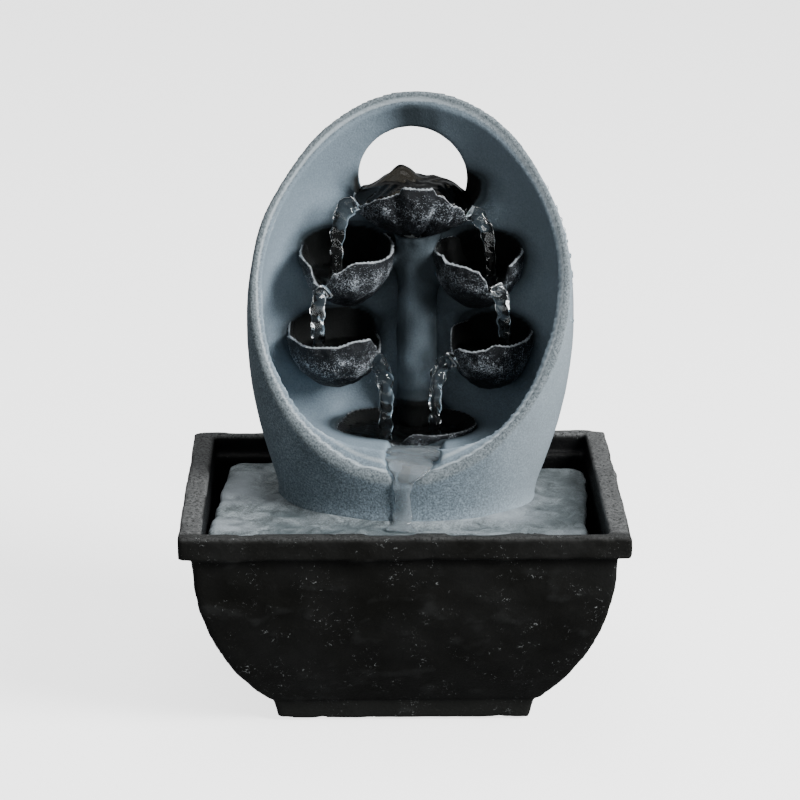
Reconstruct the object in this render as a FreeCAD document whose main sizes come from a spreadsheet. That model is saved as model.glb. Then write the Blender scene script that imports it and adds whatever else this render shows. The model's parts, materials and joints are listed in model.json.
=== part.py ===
import FreeCAD, Part
import math
import os
import Sketcher

# A tabletop water fountain: a rectangular basin, and an upright oval shell on a deck plate that lies
# in it. Five wall bowls and a pool step down inside the shell's niche, and a small submerged pump
# sends water up a hose to the top bowl. +X is the viewer's right, +Y points to the back, +Z is up.
# The origin is on the table, under the middle of the basin's rim. All sizes are in millimetres.

SIZES = [
    # basin
    ("rim_wide", 200, "basin rim, left to right"),
    ("rim_deep", 144, "basin rim, front to back"),
    ("rim_top", 102.5, "height of the rim above the table"),
    ("rim_band", 11, "height of the straight band under the rim"),
    ("rim_side_land", 10, "width of the rim's top on the left and right"),
    ("rim_front_land", 6, "width of the rim's top at the front and back"),
    ("body_inset_side", 5.5, "how far the body stands inside the band, left and right"),
    ("body_inset_front", 4, "how far the body stands inside the band, front and back"),
    ("foot_wide", 120, "foot, left to right, where it meets the body"),
    ("foot_deep", 84, "foot, front to back, where it meets the body"),
    ("foot_tall", 10, "height of the foot"),
    ("foot_taper", 2, "how much the foot narrows on each side towards the table"),
    ("basin_wall", 5, "wall of the basin's body"),
    ("basin_floor", 5.5, "floor of the basin"),
    ("notch_wide", 8, "cord notch in the back rim"),
    ("notch_tall", 7, "depth of the cord notch"),
    ("notch_side", 40, "cord notch, right of the middle"),
    ("pad_round", 12, "diameter of a foot pad"),
    ("pad_tall", 1.5, "thickness of a foot pad"),
    ("pad_edge", 4, "from a pad to the foot's edge"),
    # deck
    ("deck_turn", 3.5, "deck turned clockwise, seen from above, in degrees"),
    ("deck_drop", 10.5, "from the rim's top down to the deck's top"),
    ("deck_thick", 6, "thickness of the deck"),
    ("deck_gap_side", 4.5, "rim opening to deck, left and right"),
    ("deck_gap_front", 9, "rim opening to deck, at the front"),
    ("deck_gap_back", 12, "rim opening to deck, at the back"),
    ("deck_corner", 8, "radius of the deck's corners"),
    ("leg_round", 12, "diameter of a deck leg"),
    ("leg_from_wall", 5, "from a leg to the basin's inner wall, at the floor"),
    # oval shell; heights are measured up from the deck's top
    ("egg_turn", 6, "shell turned clockwise, seen from above, in degrees"),
    ("egg_side", 2.2, "shell axis, right of the basin's middle"),
    ("egg_back", 12, "shell axis, behind the basin's middle"),
    ("egg_up", 84, "height of the shell's widest section"),
    ("egg_half_wide", 74.8, "half width at the widest section"),
    ("egg_half_deep", 47.5, "half depth at the widest section"),
    ("egg_rise", 119, "rounding above the widest section"),
    ("egg_drop", 124, "rounding below the widest section"),
    ("egg_wall", 7, "wall of the shell"),
    ("flare_out", 4, "how far the foot of the shell flares onto the deck"),
    ("flare_up", 14, "height of the flare's rounding"),
    ("cut_lean", 21.3, "lean of the open face from upright, in degrees"),
    ("cut_front", 16, "open face in front of the shell axis, at the widest section"),
    ("niche_up", 31, "height of the niche floor"),
    ("niche_floor", 13, "thickness of the niche floor"),
    ("window_round", 50, "diameter of the round window in the back wall"),
    ("window_up", 143, "height of the window's middle"),
    ("lip_wide", 23, "spill notch in the lower lip, at the top"),
    ("lip_narrow", 5, "spill notch, at the bottom"),
    ("lip_side", 4, "spill notch, right of the shell axis"),
    ("lip_deep", 10, "spill notch, below the niche floor"),
    # water way
    ("hose_bore", 7.2, "inside diameter of the hose"),
    ("hose_wall", 1.5, "wall of the hose"),
    ("hose_bend", 25, "bend radius of the hose"),
    ("hose_gap", 0.3, "hose to duct, all round"),
    ("slip_gap", 0.1, "hose to the fittings that it slips over, all round"),
    ("duct_wall", 3, "wall of the hose duct in the niche"),
    ("duct_from_wall", 14.5, "duct axis to the niche's back wall at the widest section"),
    ("outlet_wall", 1, "wall of the outlet fitting"),
    ("outlet_flange", 14, "diameter of the outlet fitting's flange"),
    # pump; heights are measured up from the basin's floor
    ("cup_tall", 6, "height of a suction cup"),
    ("cup_round", 11, "diameter of a suction cup"),
    ("pump_long", 34, "motor housing, along the shaft"),
    ("pump_deep", 32, "motor housing, across the shaft"),
    ("pump_tall", 30, "motor housing, height"),
    ("pump_wall", 2.5, "walls of the motor housing"),
    ("pump_back", 20, "pump axis, behind the basin's middle"),
    ("shaft_up", 12.5, "shaft above the housing's underside"),
    ("shaft_round", 2.2, "diameter of the ceramic shaft"),
    ("shaft_gap", 0.05, "shaft to the rotor that spins on it, all round"),
    ("magnet_round", 12, "diameter of the rotor magnet"),
    ("magnet_long", 18, "length of the rotor magnet"),
    ("magnet_gap", 0.6, "rotor magnet to its well, all round"),
    ("well_wall", 1.4, "wall of the rotor well"),
    ("bush_round", 5, "diameter of a shaft bush"),
    ("bush_long", 3, "length of a shaft bush"),
    ("chamber_round", 20, "diameter of the impeller chamber"),
    ("chamber_long", 9, "length of the impeller chamber"),
    ("impeller_round", 17, "diameter of the impeller"),
    ("impeller_long", 5, "length of the impeller"),
    ("vane_thick", 1.2, "thickness of an impeller vane"),
    ("vanes", 6, "number of impeller vanes"),
    ("volute_wall", 3, "front wall of the pump chamber"),
    ("inlet_round", 11, "diameter of the chamber's inlet"),
    ("nozzle_tall", 13, "height of the outlet nozzle above the chamber"),
    ("nozzle_wall", 1.1, "wall of the outlet nozzle"),
    ("seal_thick", 1.4, "cord diameter of the seal ring"),
    ("seal_edge", 0.5, "from the impeller chamber to the seal ring"),
    ("cover_long", 12, "length of the intake cover"),
    ("cover_wall", 1.6, "wall of the intake cover"),
    ("cover_gap", 0.3, "intake cover to the pump chamber"),
    ("slots", 5, "number of intake slots"),
    ("slot_wide", 2, "width of an intake slot"),
    ("slot_pitch", 4, "spacing of the intake slots"),
    ("slider_travel", 8, "travel of the flow slider"),
    ("gland_round", 8, "diameter of the cable gland"),
    ("gland_bore", 5, "bore of the cable gland"),
    ("gland_out", 6, "how far the cable gland stands out"),
    ("part_gap", 0.2, "between loosely fitted pump parts"),
]

# Each bowl: right of the shell axis, front from the niche's back wall, rim height above the deck,
# half width, half depth, depth, direction of the spout (degrees, 0 is right, 90 is back),
# diameter of the spout, and the spout's drop below the rim.
BOWLS = {
    "upper_left_bowl": (-31, 23, 113, 22, 28, 26, -112, 14, 3),
    "upper_right_bowl": (30, 20, 113, 21, 22, 27, -62, 14, 3),
    "lower_left_bowl": (-36, 21, 73, 23, 28, 26, -35, 12, 2),
    "lower_right_bowl": (36, 19, 73, 20, 22, 26, -150, 12, 2),
    "top_bowl": (1, 16, 143, 31, 22, 21, -160, 12, 1),
    "pool_bowl": (-3, 32, 33, 34, 22, 12, -80, 10, 0),
}
BOWL_WALL = ("bowl_wall", 3, "wall of the bowls")
BOWL_WORDS = (
    "side",
    "front",
    "rim",
    "half_wide",
    "half_deep",
    "deep",
    "spout_turn",
    "spout_round",
    "spout_drop",
)


class Size:
    """A length that holds its number and the sheet expression that it comes from."""

    def __init__(self, number, text):
        self.number = number
        self.text = text

    def __add__(self, other):
        other = as_size(other)
        return Size(self.number + other.number, "({} + {})".format(self.text, other.text))

    def __sub__(self, other):
        other = as_size(other)
        return Size(self.number - other.number, "({} - {})".format(self.text, other.text))

    def __mul__(self, other):
        other = as_size(other)
        return Size(self.number * other.number, "({} * {})".format(self.text, other.text))

    def __truediv__(self, other):
        other = as_size(other)
        return Size(self.number / other.number, "({} / {})".format(self.text, other.text))

    def __neg__(self):
        return Size(-self.number, "(0 - {})".format(self.text))


def as_size(value):
    if isinstance(value, Size):
        return value
    return Size(float(value), "({})".format(value))


def root(value):
    return Size(math.sqrt(value.number), "sqrt({})".format(value.text))


doc = FreeCAD.newDocument("fountain")
sheet = doc.addObject("Spreadsheet::Sheet", "Sizes")


def fill_sheet():
    rows = list(SIZES) + [BOWL_WALL]
    for name, numbers in BOWLS.items():
        for word, number in zip(BOWL_WORDS, numbers):
            rows.append((name + "_" + word, number, ""))
    for row, (alias, number, note) in enumerate(rows, start=1):
        sheet.set("A{}".format(row), alias)
        sheet.set("B{}".format(row), str(number))
        sheet.setAlias("B{}".format(row), alias)
        sheet.set("C{}".format(row), note)
    doc.recompute()


def size(alias):
    return Size(float(sheet.get(alias)), "Sizes." + alias)


def move(obj, x, y, z, axis=None, angle=0):
    """Places an object; a bound position, and a fixed or bound turn about one axis."""
    angle = as_size(angle)
    spin = FreeCAD.Rotation(axis or FreeCAD.Vector(0, 0, 1), angle.number)
    obj.Placement = FreeCAD.Placement(FreeCAD.Vector(), spin)
    for word, value in zip("xyz", (x, y, z)):
        obj.setExpression("Placement.Base." + word, as_size(value).text)
    if angle.text != "(0)":
        obj.setExpression("Placement.Rotation.Angle", angle.text + " * 1deg")
    return obj


def bind(obj, **values):
    for prop, value in values.items():
        obj.setExpression(prop, as_size(value).text)
    return obj


def box(name, low, high):
    """A box between two opposite corners."""
    solid = doc.addObject("Part::Box", name)
    low = [as_size(value) for value in low]
    high = [as_size(value) for value in high]
    bind(solid, Length=high[0] - low[0], Width=high[1] - low[1], Height=high[2] - low[2])
    return move(solid, *low)


def rod(name, centre, radius, length, along="z"):
    """A cylinder that starts at a point and runs along x, y or z."""
    solid = doc.addObject("Part::Cylinder", name)
    bind(solid, Radius=radius, Height=length)
    axis = {"x": FreeCAD.Vector(0, 1, 0), "y": FreeCAD.Vector(1, 0, 0), "z": FreeCAD.Vector(0, 0, 1)}[along]
    angle = {"x": 90, "y": -90, "z": 0}[along]
    return move(solid, *centre, axis=axis, angle=angle)


def tube(name, centre, outer, inner, length, along="z"):
    outside = rod(name + "_outside", centre, outer, length, along)
    inside = rod(name + "_inside", centre, inner, length, along)
    return cut(name, outside, inside)


def ellipsoid(name, centre, half_x, half_y, half_z, low_angle=-90, high_angle=90):
    solid = doc.addObject("Part::Ellipsoid", name)
    bind(solid, Radius1=half_z, Radius2=half_x, Radius3=half_y)
    solid.Angle1 = low_angle
    solid.Angle2 = high_angle
    return move(solid, *centre)


def fuse(name, *shapes):
    joined = doc.addObject("Part::MultiFuse", name)
    joined.Shapes = list(shapes)
    joined.Refine = True
    return joined


def common(name, first, second):
    shared = doc.addObject("Part::MultiCommon", name)
    shared.Shapes = [first, second]
    return shared


def cut(name, base, *tools):
    result = base
    for count, tool in enumerate(tools, start=1):
        step = doc.addObject("Part::Cut", name if count == len(tools) else "{}_cut_{}".format(name, count))
        step.Base = result
        step.Tool = tool
        result = step
    return result


def outline(sketch, corners):
    """A closed straight-sided outline whose corners are bound, as distances from the sketch's origin."""
    corners = [(as_size(x), as_size(y)) for x, y in corners]
    points = [FreeCAD.Vector(x.number, y.number, 0) for x, y in corners]
    last = len(points) - 1
    for index, point in enumerate(points):
        after = points[0] if index == last else points[index + 1]
        sketch.addGeometry(Part.LineSegment(point, after), False)
    for index in range(len(points)):
        after = 0 if index == last else index + 1
        sketch.addConstraint(Sketcher.Constraint("Coincident", index, 2, after, 1))
    for index, (x, y) in enumerate(corners):
        for kind, value in (("DistanceX", x), ("DistanceY", y)):
            place = sketch.addConstraint(Sketcher.Constraint(kind, -1, 1, index, 1, value.number))
            sketch.setExpression("Constraints[{}]".format(place), value.text)


def origin_plane(body, role):
    return [item for item in body.Origin.OriginFeatures if item.Role == role][0]


def sketch_on(body, name, role, height=0):
    sketch = body.newObject("Sketcher::SketchObject", name)
    sketch.AttachmentSupport = [(origin_plane(body, role), "")]
    sketch.MapMode = "FlatFace"
    sketch.setExpression("AttachmentOffset.Base.z", as_size(height).text)
    return sketch


def turned(name, corners):
    """A body turned about its own Z axis from (radius, height) corners."""
    body = doc.addObject("PartDesign::Body", name)
    sketch = sketch_on(body, name + "_profile", "XZ_Plane")
    outline(sketch, corners)
    revolution = body.newObject("PartDesign::Revolution", name + "_turned")
    revolution.Profile = sketch
    revolution.ReferenceAxis = (origin_plane(body, "Z_Axis"), [""])
    revolution.Angle = 360
    return body


SUB_PARTS = []
# shapes whose own Placement is already in use
PLACED_SHAPES = ("Part::Box", "Part::Cylinder", "Part::Torus")


def sub_part(obj, label):
    obj.Label = label
    SUB_PARTS.append(obj)
    return obj


def sculpture_part(obj, label, turn="egg_turn"):
    """A sub-part that is built square and then turned with the shell or the deck."""
    if obj.TypeId in PLACED_SHAPES:
        holder = doc.addObject("Part::Compound", obj.Name + "_turned")
        holder.Links = [obj]
        obj = holder
    move(obj, 0, 0, 0, angle=-size(turn))
    return sub_part(obj, label)


fill_sheet()

# ---------------------------------------------------------------- shared places
half = as_size(0.5)
foot_low = size("pad_tall")
body_low = foot_low + size("foot_tall")
body_top = size("rim_top") - size("rim_band")
body_tall = body_top - body_low
floor_top = body_low + size("basin_floor")
body_half_wide = size("rim_wide") * half - size("body_inset_side")
body_half_deep = size("rim_deep") * half - size("body_inset_front")
opening_half_wide = size("rim_wide") * half - size("rim_side_land")
opening_half_deep = size("rim_deep") * half - size("rim_front_land")
deck_top = size("rim_top") - size("deck_drop")
deck_low = deck_top - size("deck_thick")
niche_top = deck_top + size("niche_up")
niche_low = niche_top - size("niche_floor")
egg_x = size("egg_side")
egg_y = size("egg_back")
egg_z = deck_top + size("egg_up")
niche_back = egg_y + size("egg_half_deep") - size("egg_wall")
hose_x = egg_x
hose_y = niche_back - size("duct_from_wall")
hose_outer = size("hose_bore") * half + size("hose_wall")
duct_bore = hose_outer + size("hose_gap")
duct_outer = duct_bore + size("duct_wall")
duct_top = deck_top + size("top_bowl_rim") - size("top_bowl_deep") + size("bowl_wall")


def body_half(height, top_half, low_half):
    """Half size of the basin's body at a height: a circular arc, upright under the rim."""
    inward = top_half - low_half
    radius = (inward * inward + body_tall * body_tall) / (inward * 2)
    down = body_top - height
    return top_half - radius + root(radius * radius - down * down)


def body_section(height, inset):
    half_x = body_half(height, body_half_wide, size("foot_wide") * half) - inset
    half_y = body_half(height, body_half_deep, size("foot_deep") * half) - inset
    return rectangle(-half_x, half_x, -half_y, half_y)


def rectangle(left, right, front, back):
    return [(left, front), (right, front), (right, back), (left, back)]


# ---------------------------------------------------------------- basin
def loft(body, kind, name, low, high, inset):
    """Adds or removes a stack of rectangles between two heights of the basin's body."""
    steps = 4
    sketches = []
    for step in range(steps):
        height = low + (high - low) * as_size(step) / as_size(steps - 1)
        sketch = sketch_on(body, "{}_{}".format(name, step), "XY_Plane", height)
        outline(sketch, body_section(height, inset))
        sketches.append(sketch)
    feature = body.newObject(kind, name)
    feature.Profile = sketches[0]
    feature.Sections = sketches[1:]
    body.Tip = feature
    return feature


def pad(body, name, corners, low, high):
    sketch = sketch_on(body, name + "_outline", "XY_Plane", low)
    outline(sketch, corners)
    feature = body.newObject("PartDesign::Pad", name)
    feature.Profile = sketch
    feature.setExpression("Length", (high - low).text)
    return feature


def pocket(body, name, corners, low, high):
    """Removes a prism between two heights."""
    sketch = sketch_on(body, name + "_outline", "XY_Plane", high)
    outline(sketch, corners)
    feature = body.newObject("PartDesign::Pocket", name)
    feature.Profile = sketch
    feature.setExpression("Length", (high - low).text)
    return feature


def make_basin():
    body = doc.addObject("PartDesign::Body", "Basin")
    loft(body, "PartDesign::AdditiveLoft", "basin_body", body_low, body_top, as_size(0))
    band_x = size("rim_wide") * half
    band_y = size("rim_deep") * half
    pad(body, "basin_band", rectangle(-band_x, band_x, -band_y, band_y), body_top, size("rim_top"))
    foot_x = size("foot_wide") * half - size("foot_taper")
    foot_y = size("foot_deep") * half - size("foot_taper")
    foot = pad(body, "basin_foot", rectangle(-foot_x, foot_x, -foot_y, foot_y), foot_low, body_low)
    foot.setExpression("TaperAngle", "atan({} / {})".format(size("foot_taper").text, size("foot_tall").text))
    loft(body, "PartDesign::SubtractiveLoft", "basin_hollow", floor_top, body_top, size("basin_wall"))
    open_x = opening_half_wide
    open_y = opening_half_deep
    pocket(body, "basin_opening", rectangle(-open_x, open_x, -open_y, open_y), body_top, size("rim_top"))
    notch_left = size("notch_side") - size("notch_wide") * half
    notch = rectangle(notch_left, notch_left + size("notch_wide"), open_y - 1, band_y + 1)
    pocket(body, "cord_notch", notch, size("rim_top") - size("notch_tall"), size("rim_top"))
    sub_part(body, "basin")


def make_foot_pads():
    side = size("foot_wide") * half - size("foot_taper") - size("pad_edge") - size("pad_round") * half
    front = size("foot_deep") * half - size("foot_taper") - size("pad_edge") - size("pad_round") * half
    names = ["front_left", "front_right", "back_left", "back_right"]
    places = [(-side, -front), (side, -front), (-side, front), (side, front)]
    for name, (x, y) in zip(names, places):
        solid = rod("pad_" + name, (x, y, 0), size("pad_round") * half, size("pad_tall"))
        sub_part(solid, "foot_pad_" + name)


# ---------------------------------------------------------------- oval solids
def egg(name, inset):
    """The oval solid, drawn in by an inset on all sides."""
    centre = (egg_x, egg_y, egg_z)
    half_x = size("egg_half_wide") - inset
    half_y = size("egg_half_deep") - inset
    upper = ellipsoid(name + "_upper", centre, half_x, half_y, size("egg_rise") - inset, 0, 90)
    lower = ellipsoid(name + "_lower", centre, half_x, half_y, size("egg_drop") - inset, -90, 0)
    return fuse(name, upper, lower)


def slab(name, low, high):
    """A slab wider than the whole fountain, between two heights."""
    reach = size("rim_wide")
    return box(name, (-reach, -reach, low), (reach, reach, high))


def make_duct(name):
    """The hose duct up the niche's back wall, with the rib that ties it to the wall."""
    column = rod(name + "_column", (hose_x, hose_y, niche_low), duct_outer, duct_top - niche_low)
    rib = box(
        name + "_rib",
        (hose_x - duct_outer, hose_y, niche_low),
        (hose_x + duct_outer, niche_back + size("egg_wall"), duct_top - size("bowl_wall") * 3),
    )
    return fuse(name, column, rib)


def make_deck(inner_egg):
    left = -(opening_half_wide - size("deck_gap_side"))
    front = -(opening_half_deep - size("deck_gap_front"))
    back = opening_half_deep - size("deck_gap_back")
    body = doc.addObject("PartDesign::Body", "DeckPlate")
    plate = pad(body, "deck_pad", rectangle(left, -left, front, back), deck_low, deck_top)
    doc.recompute()
    corners = doc.getObject("deck_pad").Shape.Edges
    upright = [
        "Edge{}".format(number)
        for number, edge in enumerate(corners, start=1)
        if abs(edge.Vertexes[0].Point.z - edge.Vertexes[-1].Point.z) > 1
    ]
    rounding = body.newObject("PartDesign::Fillet", "deck_corners")
    rounding.Base = (plate, upright)
    rounding.setExpression("Radius", size("deck_corner").text)
    body.Tip = rounding
    plate = body
    floor_half_x = body_half(floor_top, body_half_wide, size("foot_wide") * half) - size("basin_wall")
    floor_half_y = body_half(floor_top, body_half_deep, size("foot_deep") * half) - size("basin_wall")
    leg_x = floor_half_x - size("leg_from_wall") - size("leg_round") * half
    leg_y = floor_half_y - size("leg_from_wall") - size("leg_round") * half
    legs = []
    for x in (-leg_x, leg_x):
        for y in (-leg_y, leg_y):
            name = "leg_{}".format(len(legs) + 1)
            legs.append(rod(name, (x, y, floor_top), size("leg_round") * half, deck_low - floor_top + 1))
    # the shell's hollow foot, turned back from the shell's turn to the deck's own
    opening = common("deck_opening", inner_egg, slab("deck_opening_slab", deck_low - 1, deck_top + 1))
    move(opening, 0, 0, 0, angle=size("deck_turn") - size("egg_turn"))
    deck = cut("Deck", fuse("deck_with_legs", plate, *legs), opening)
    sculpture_part(deck, "deck", "deck_turn")


def make_shell(inner_egg, duct):
    outer = egg("outer_egg", as_size(0))
    flare_rim = root(as_size(1) - size("egg_up") * size("egg_up") / (size("egg_drop") * size("egg_drop")))
    flare = ellipsoid(
        "flare",
        (egg_x, egg_y, deck_top),
        size("egg_half_wide") * flare_rim + size("flare_out"),
        size("egg_half_deep") * flare_rim + size("flare_out"),
        size("flare_up"),
    )
    above = slab("above_deck", deck_top, egg_z + size("egg_rise") + 10)
    solid = common("shell_solid", fuse("flared_egg", outer, flare), above)
    niche = common("niche", inner_egg, slab("niche_slab", niche_top, egg_z + size("egg_rise")))
    hollow = common("hollow", inner_egg, slab("hollow_slab", deck_top - 1, niche_low))
    window = rod(
        "window",
        (egg_x, egg_y, deck_top + size("window_up")),
        size("window_round") * half,
        size("egg_half_deep") * 2,
        "y",
    )
    reach = size("rim_wide")
    front = doc.addObject("Part::Box", "front_cut")
    bind(front, Length=reach * 2, Width=reach, Height=reach * 2)
    lean = size("cut_lean")
    # the box's back face is the open face: it leans back about the shell's widest section
    shift_y = "({0} * cos({1} * 1deg) + {0} * sin({1} * 1deg))".format(reach.text, lean.text)
    shift_z = "({0} * cos({1} * 1deg) - {0} * sin({1} * 1deg))".format(reach.text, lean.text)
    move(front, -reach, 0, 0, axis=FreeCAD.Vector(1, 0, 0), angle=-lean)
    face_y = egg_y - size("cut_front")
    front.setExpression("Placement.Base.y", "{} - {}".format(face_y.text, shift_y))
    front.setExpression("Placement.Base.z", "{} - {}".format(egg_z.text, shift_z))
    # the pool is sunk in the niche's floor
    pool_centre, pool_halves = bowl_place("pool_bowl")
    pool_seat = ellipsoid("pool_seat", pool_centre, *pool_halves)
    carved = cut("shell_carved", solid, niche, hollow, window, front, pool_seat)
    inside_wall = egg("wall_middle_egg", size("egg_wall") * half)
    tied = common("tied_duct", duct, inside_wall)
    with_duct = fuse("shell_with_duct", carved, tied)
    bore = rod("duct_bore", (hose_x, hose_y, niche_low - 1), duct_bore, duct_top - niche_low + 2)
    lip = spill_notch()
    shell = cut("Shell", with_duct, bore, lip)
    sculpture_part(shell, "shell")


def spill_notch():
    """A V-shaped notch through the lower lip, cut down a little below the niche floor."""
    notch = doc.addObject("Part::Wedge", "spill_notch")
    tall = size("egg_wall") + size("lip_deep") + 8
    lean = (size("lip_wide") - size("lip_narrow")) * half
    reach = size("egg_half_deep")
    middle = egg_x + size("lip_side")
    values = {
        "Xmin": -size("lip_narrow") * half,
        "Xmax": size("lip_narrow") * half,
        "X2min": -(size("lip_narrow") * half) - lean,
        "X2max": size("lip_narrow") * half + lean,
        "Ymin": as_size(0),
        "Ymax": tall,
        "Zmin": as_size(0),
        "Zmax": reach,
        "Z2min": as_size(0),
        "Z2max": reach,
    }
    bind(notch, **values)
    # the wedge opens along its own Y, which is set upright
    low = niche_top - size("lip_deep")
    move(notch, middle, egg_y - 8, low, axis=FreeCAD.Vector(1, 0, 0), angle=90)
    return notch


def bowl_place(name):
    """The middle of a bowl's rim, and its half width, half depth and depth."""
    middle_x = egg_x + size(name + "_side")
    middle_y = niche_back - size(name + "_front")
    centre = (middle_x, middle_y, deck_top + size(name + "_rim"))
    halves = (size(name + "_half_wide"), size(name + "_half_deep"), size(name + "_deep"))
    return centre, halves


def make_bowls(inner_egg, duct):
    lining = egg("lining_egg", size("egg_wall") + size("bowl_wall"))
    for name in BOWLS:
        values = {word: size(name + "_" + word) for word in BOWL_WORDS}
        centre, halves = bowl_place(name)
        solid = ellipsoid(name + "_outside", centre, *halves, -90, 0)
        solid = common(name + "_trimmed", solid, inner_egg)
        thinner = [value - size("bowl_wall") for value in halves]
        hollow = ellipsoid(name + "_inside", centre, *thinner)
        hollow = common(name + "_hollow", hollow, lining)
        tools = [hollow]
        if values["spout_drop"].number > 0:
            spout = rod(name + "_spout", centre, values["spout_round"] * half, values["half_wide"] * 2, "x")
            turn = FreeCAD.Rotation(FreeCAD.Vector(0, 0, 1), values["spout_turn"].number)
            level = FreeCAD.Rotation(FreeCAD.Vector(0, 1, 0), 90)
            spout.Placement = FreeCAD.Placement(FreeCAD.Vector(), turn.multiply(level))
            for word, value in zip("xyz", centre):
                spout.setExpression("Placement.Base." + word, value.text)
            spout.setExpression("Placement.Base.z", (centre[2] - values["spout_drop"]).text)
            tools.append(spout)
        tools.append(duct)
        if name == "top_bowl":
            hole_low = duct_top - values["deep"]
            tools[-1] = rod("outlet_hole", (hose_x, hose_y, hole_low), duct_outer, values["deep"] * 2)
        sculpture_part(cut(name + "_solid", solid, *tools), name)


# ---------------------------------------------------------------- hose and outlet
def hose_top():
    return duct_top + 2


def nozzle_low():
    return floor_top + size("cup_tall") + size("shaft_up") + size("chamber_round") * half + 3


def nozzle_top():
    return nozzle_low() + size("nozzle_tall")


def make_hose():
    """Pump nozzle to duct: two upright runs joined by an S of two arcs, in one upright plane."""
    bend = size("hose_bend").number
    x = hose_x.number
    start_y = size("pump_back").number
    end_y = hose_y.number
    low = nozzle_low().number + 2
    high = hose_top().number
    first_z = nozzle_top().number + 8
    last_z = niche_low.number - 6
    slope = math.atan2(end_y - start_y, last_z - first_z)
    back_off = bend * math.tan(abs(slope) / 2)
    step = FreeCAD.Vector(0, math.sin(slope), math.cos(slope))
    upright = FreeCAD.Vector(0, 0, 1)
    edges = []
    cursor = FreeCAD.Vector(x, start_y, low)
    for knee, before, after in (
        (FreeCAD.Vector(x, start_y, first_z), upright, step),
        (FreeCAD.Vector(x, end_y, last_z), step, upright),
    ):
        into = knee - before * back_off
        out = knee + after * back_off
        inward = (after - before).normalize()
        middle = knee + inward * (bend / math.cos(slope / 2) - bend)
        edges.append(Part.LineSegment(cursor, into).toShape())
        edges.append(Part.Arc(into, middle, out).toShape())
        cursor = out
    edges.append(Part.LineSegment(cursor, FreeCAD.Vector(x, end_y, high)).toShape())
    path = Part.Wire(edges)
    start = FreeCAD.Vector(x, start_y, low)
    shapes = []
    for radius in (hose_outer.number, size("hose_bore").number / 2):
        ring = Part.Wire([Part.Circle(start, upright, radius).toShape()])
        shapes.append(path.makePipeShell([ring], True, True))
    hose = doc.addObject("Part::Feature", "Hose")
    hose.Shape = shapes[0].cut(shapes[1])
    sculpture_part(hose, "hose")


def make_outlet():
    """The fitting in the top bowl's floor: a flange and a spigot that the hose slips over."""
    spigot = size("hose_bore") * half - size("slip_gap")
    bore = spigot - size("outlet_wall")
    top = hose_top()
    flange = rod("outlet_flange_disc", (hose_x, hose_y, top), size("outlet_flange") * half, 2)
    stem = rod("outlet_stem", (hose_x, hose_y, top - 12), spigot, 20)
    way = rod("outlet_way", (hose_x, hose_y, top - 13), bore, 22)
    sculpture_part(cut("Outlet", fuse("outlet_solid", flange, stem), way), "outlet_fitting")


# ---------------------------------------------------------------- pump
pump_low = floor_top + size("cup_tall")
pump_top = pump_low + size("pump_tall")
shaft_z = pump_low + size("shaft_up")
pump_y = size("pump_back")
nozzle_x = hose_x
housing_x = nozzle_x + size("chamber_long") * half + 1
housing_end = housing_x + size("pump_long")
chamber_x = housing_x - size("chamber_long")
seal_gap = 0.05
volute_x = chamber_x - size("volute_wall")
pump_half = size("pump_deep") * half
well_radius = size("magnet_round") * half + size("magnet_gap")
well_end = housing_x + 2 + size("magnet_long") + 1 + size("bush_long")


def make_housing():
    outside = box(
        "housing_outside",
        (housing_x, pump_y - pump_half, pump_low),
        (housing_end, pump_y + pump_half, pump_top),
    )
    wall = size("pump_wall")
    inside = box(
        "housing_inside",
        (housing_x + wall, pump_y - pump_half + wall, pump_low + wall),
        (housing_end + 1, pump_y + pump_half - wall, pump_top - wall),
    )
    well = rod(
        "well_outside",
        (housing_x, pump_y, shaft_z),
        well_radius + size("well_wall"),
        well_end - housing_x + size("well_wall"),
        "x",
    )
    well_long = well_end - housing_x
    mouth = (housing_x - 1, pump_y, shaft_z)
    bore = rod("well_bore", mouth, well_radius, well_long + 1 - size("bush_long"), "x")
    bush_radius = size("bush_round") * half
    seat = rod("well_seat", (housing_x, pump_y, shaft_z), bush_radius, well_long, "x")
    tub = cut("housing_tub", outside, cut("motor_space", inside, well))
    sculpture_part(cut("Housing", tub, bore, seat), "pump_housing")


def make_motor():
    gap = size("part_gap")
    wall = size("pump_wall")
    low_x = housing_x + wall + 2
    high_x = housing_end - 9
    side = pump_half - wall - gap
    well = well_radius + size("well_wall") + gap
    bridge_low = shaft_z + well + 2
    bridge_high = pump_top - wall - gap - 2
    whole = box("core_block", (low_x, pump_y - side, shaft_z - 6), (high_x, pump_y + side, bridge_high))
    slot = box("core_slot", (low_x - 1, pump_y - well, shaft_z - 7), (high_x + 1, pump_y + well, bridge_low))
    sculpture_part(cut("Core", whole, slot), "stator_core")
    coil_side = well
    coil = box(
        "coil_block",
        (low_x - 1.6, pump_y - coil_side + 2, bridge_low - 1.6),
        (high_x + 1.6, pump_y + coil_side - 2, bridge_high + 1.6),
    )
    gap_block = box(
        "coil_space",
        (low_x, pump_y - coil_side, bridge_low),
        (high_x, pump_y + coil_side, bridge_high),
    )
    sculpture_part(cut("Coil", coil, gap_block), "motor_coil")
    plate = box(
        "plate_block",
        (housing_end - 4, pump_y - pump_half + wall, pump_low + wall),
        (housing_end - 1, pump_y + pump_half - wall, pump_top - wall),
    )
    hole = rod("plate_hole", (housing_end - 5, pump_y, gland_z()), size("gland_round") * half, 6, "x")
    sculpture_part(cut("BackPlate", plate, hole), "pump_back_plate")


def gland_z():
    return pump_top - size("pump_wall") - size("gland_round") * half - 2


def make_gland():
    length = size("gland_out") + 5
    gland = tube(
        "Gland",
        (housing_end - 4, pump_y, gland_z()),
        size("gland_round") * half,
        size("gland_bore") * half,
        length,
        "x",
    )
    sculpture_part(gland, "cable_gland")


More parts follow.
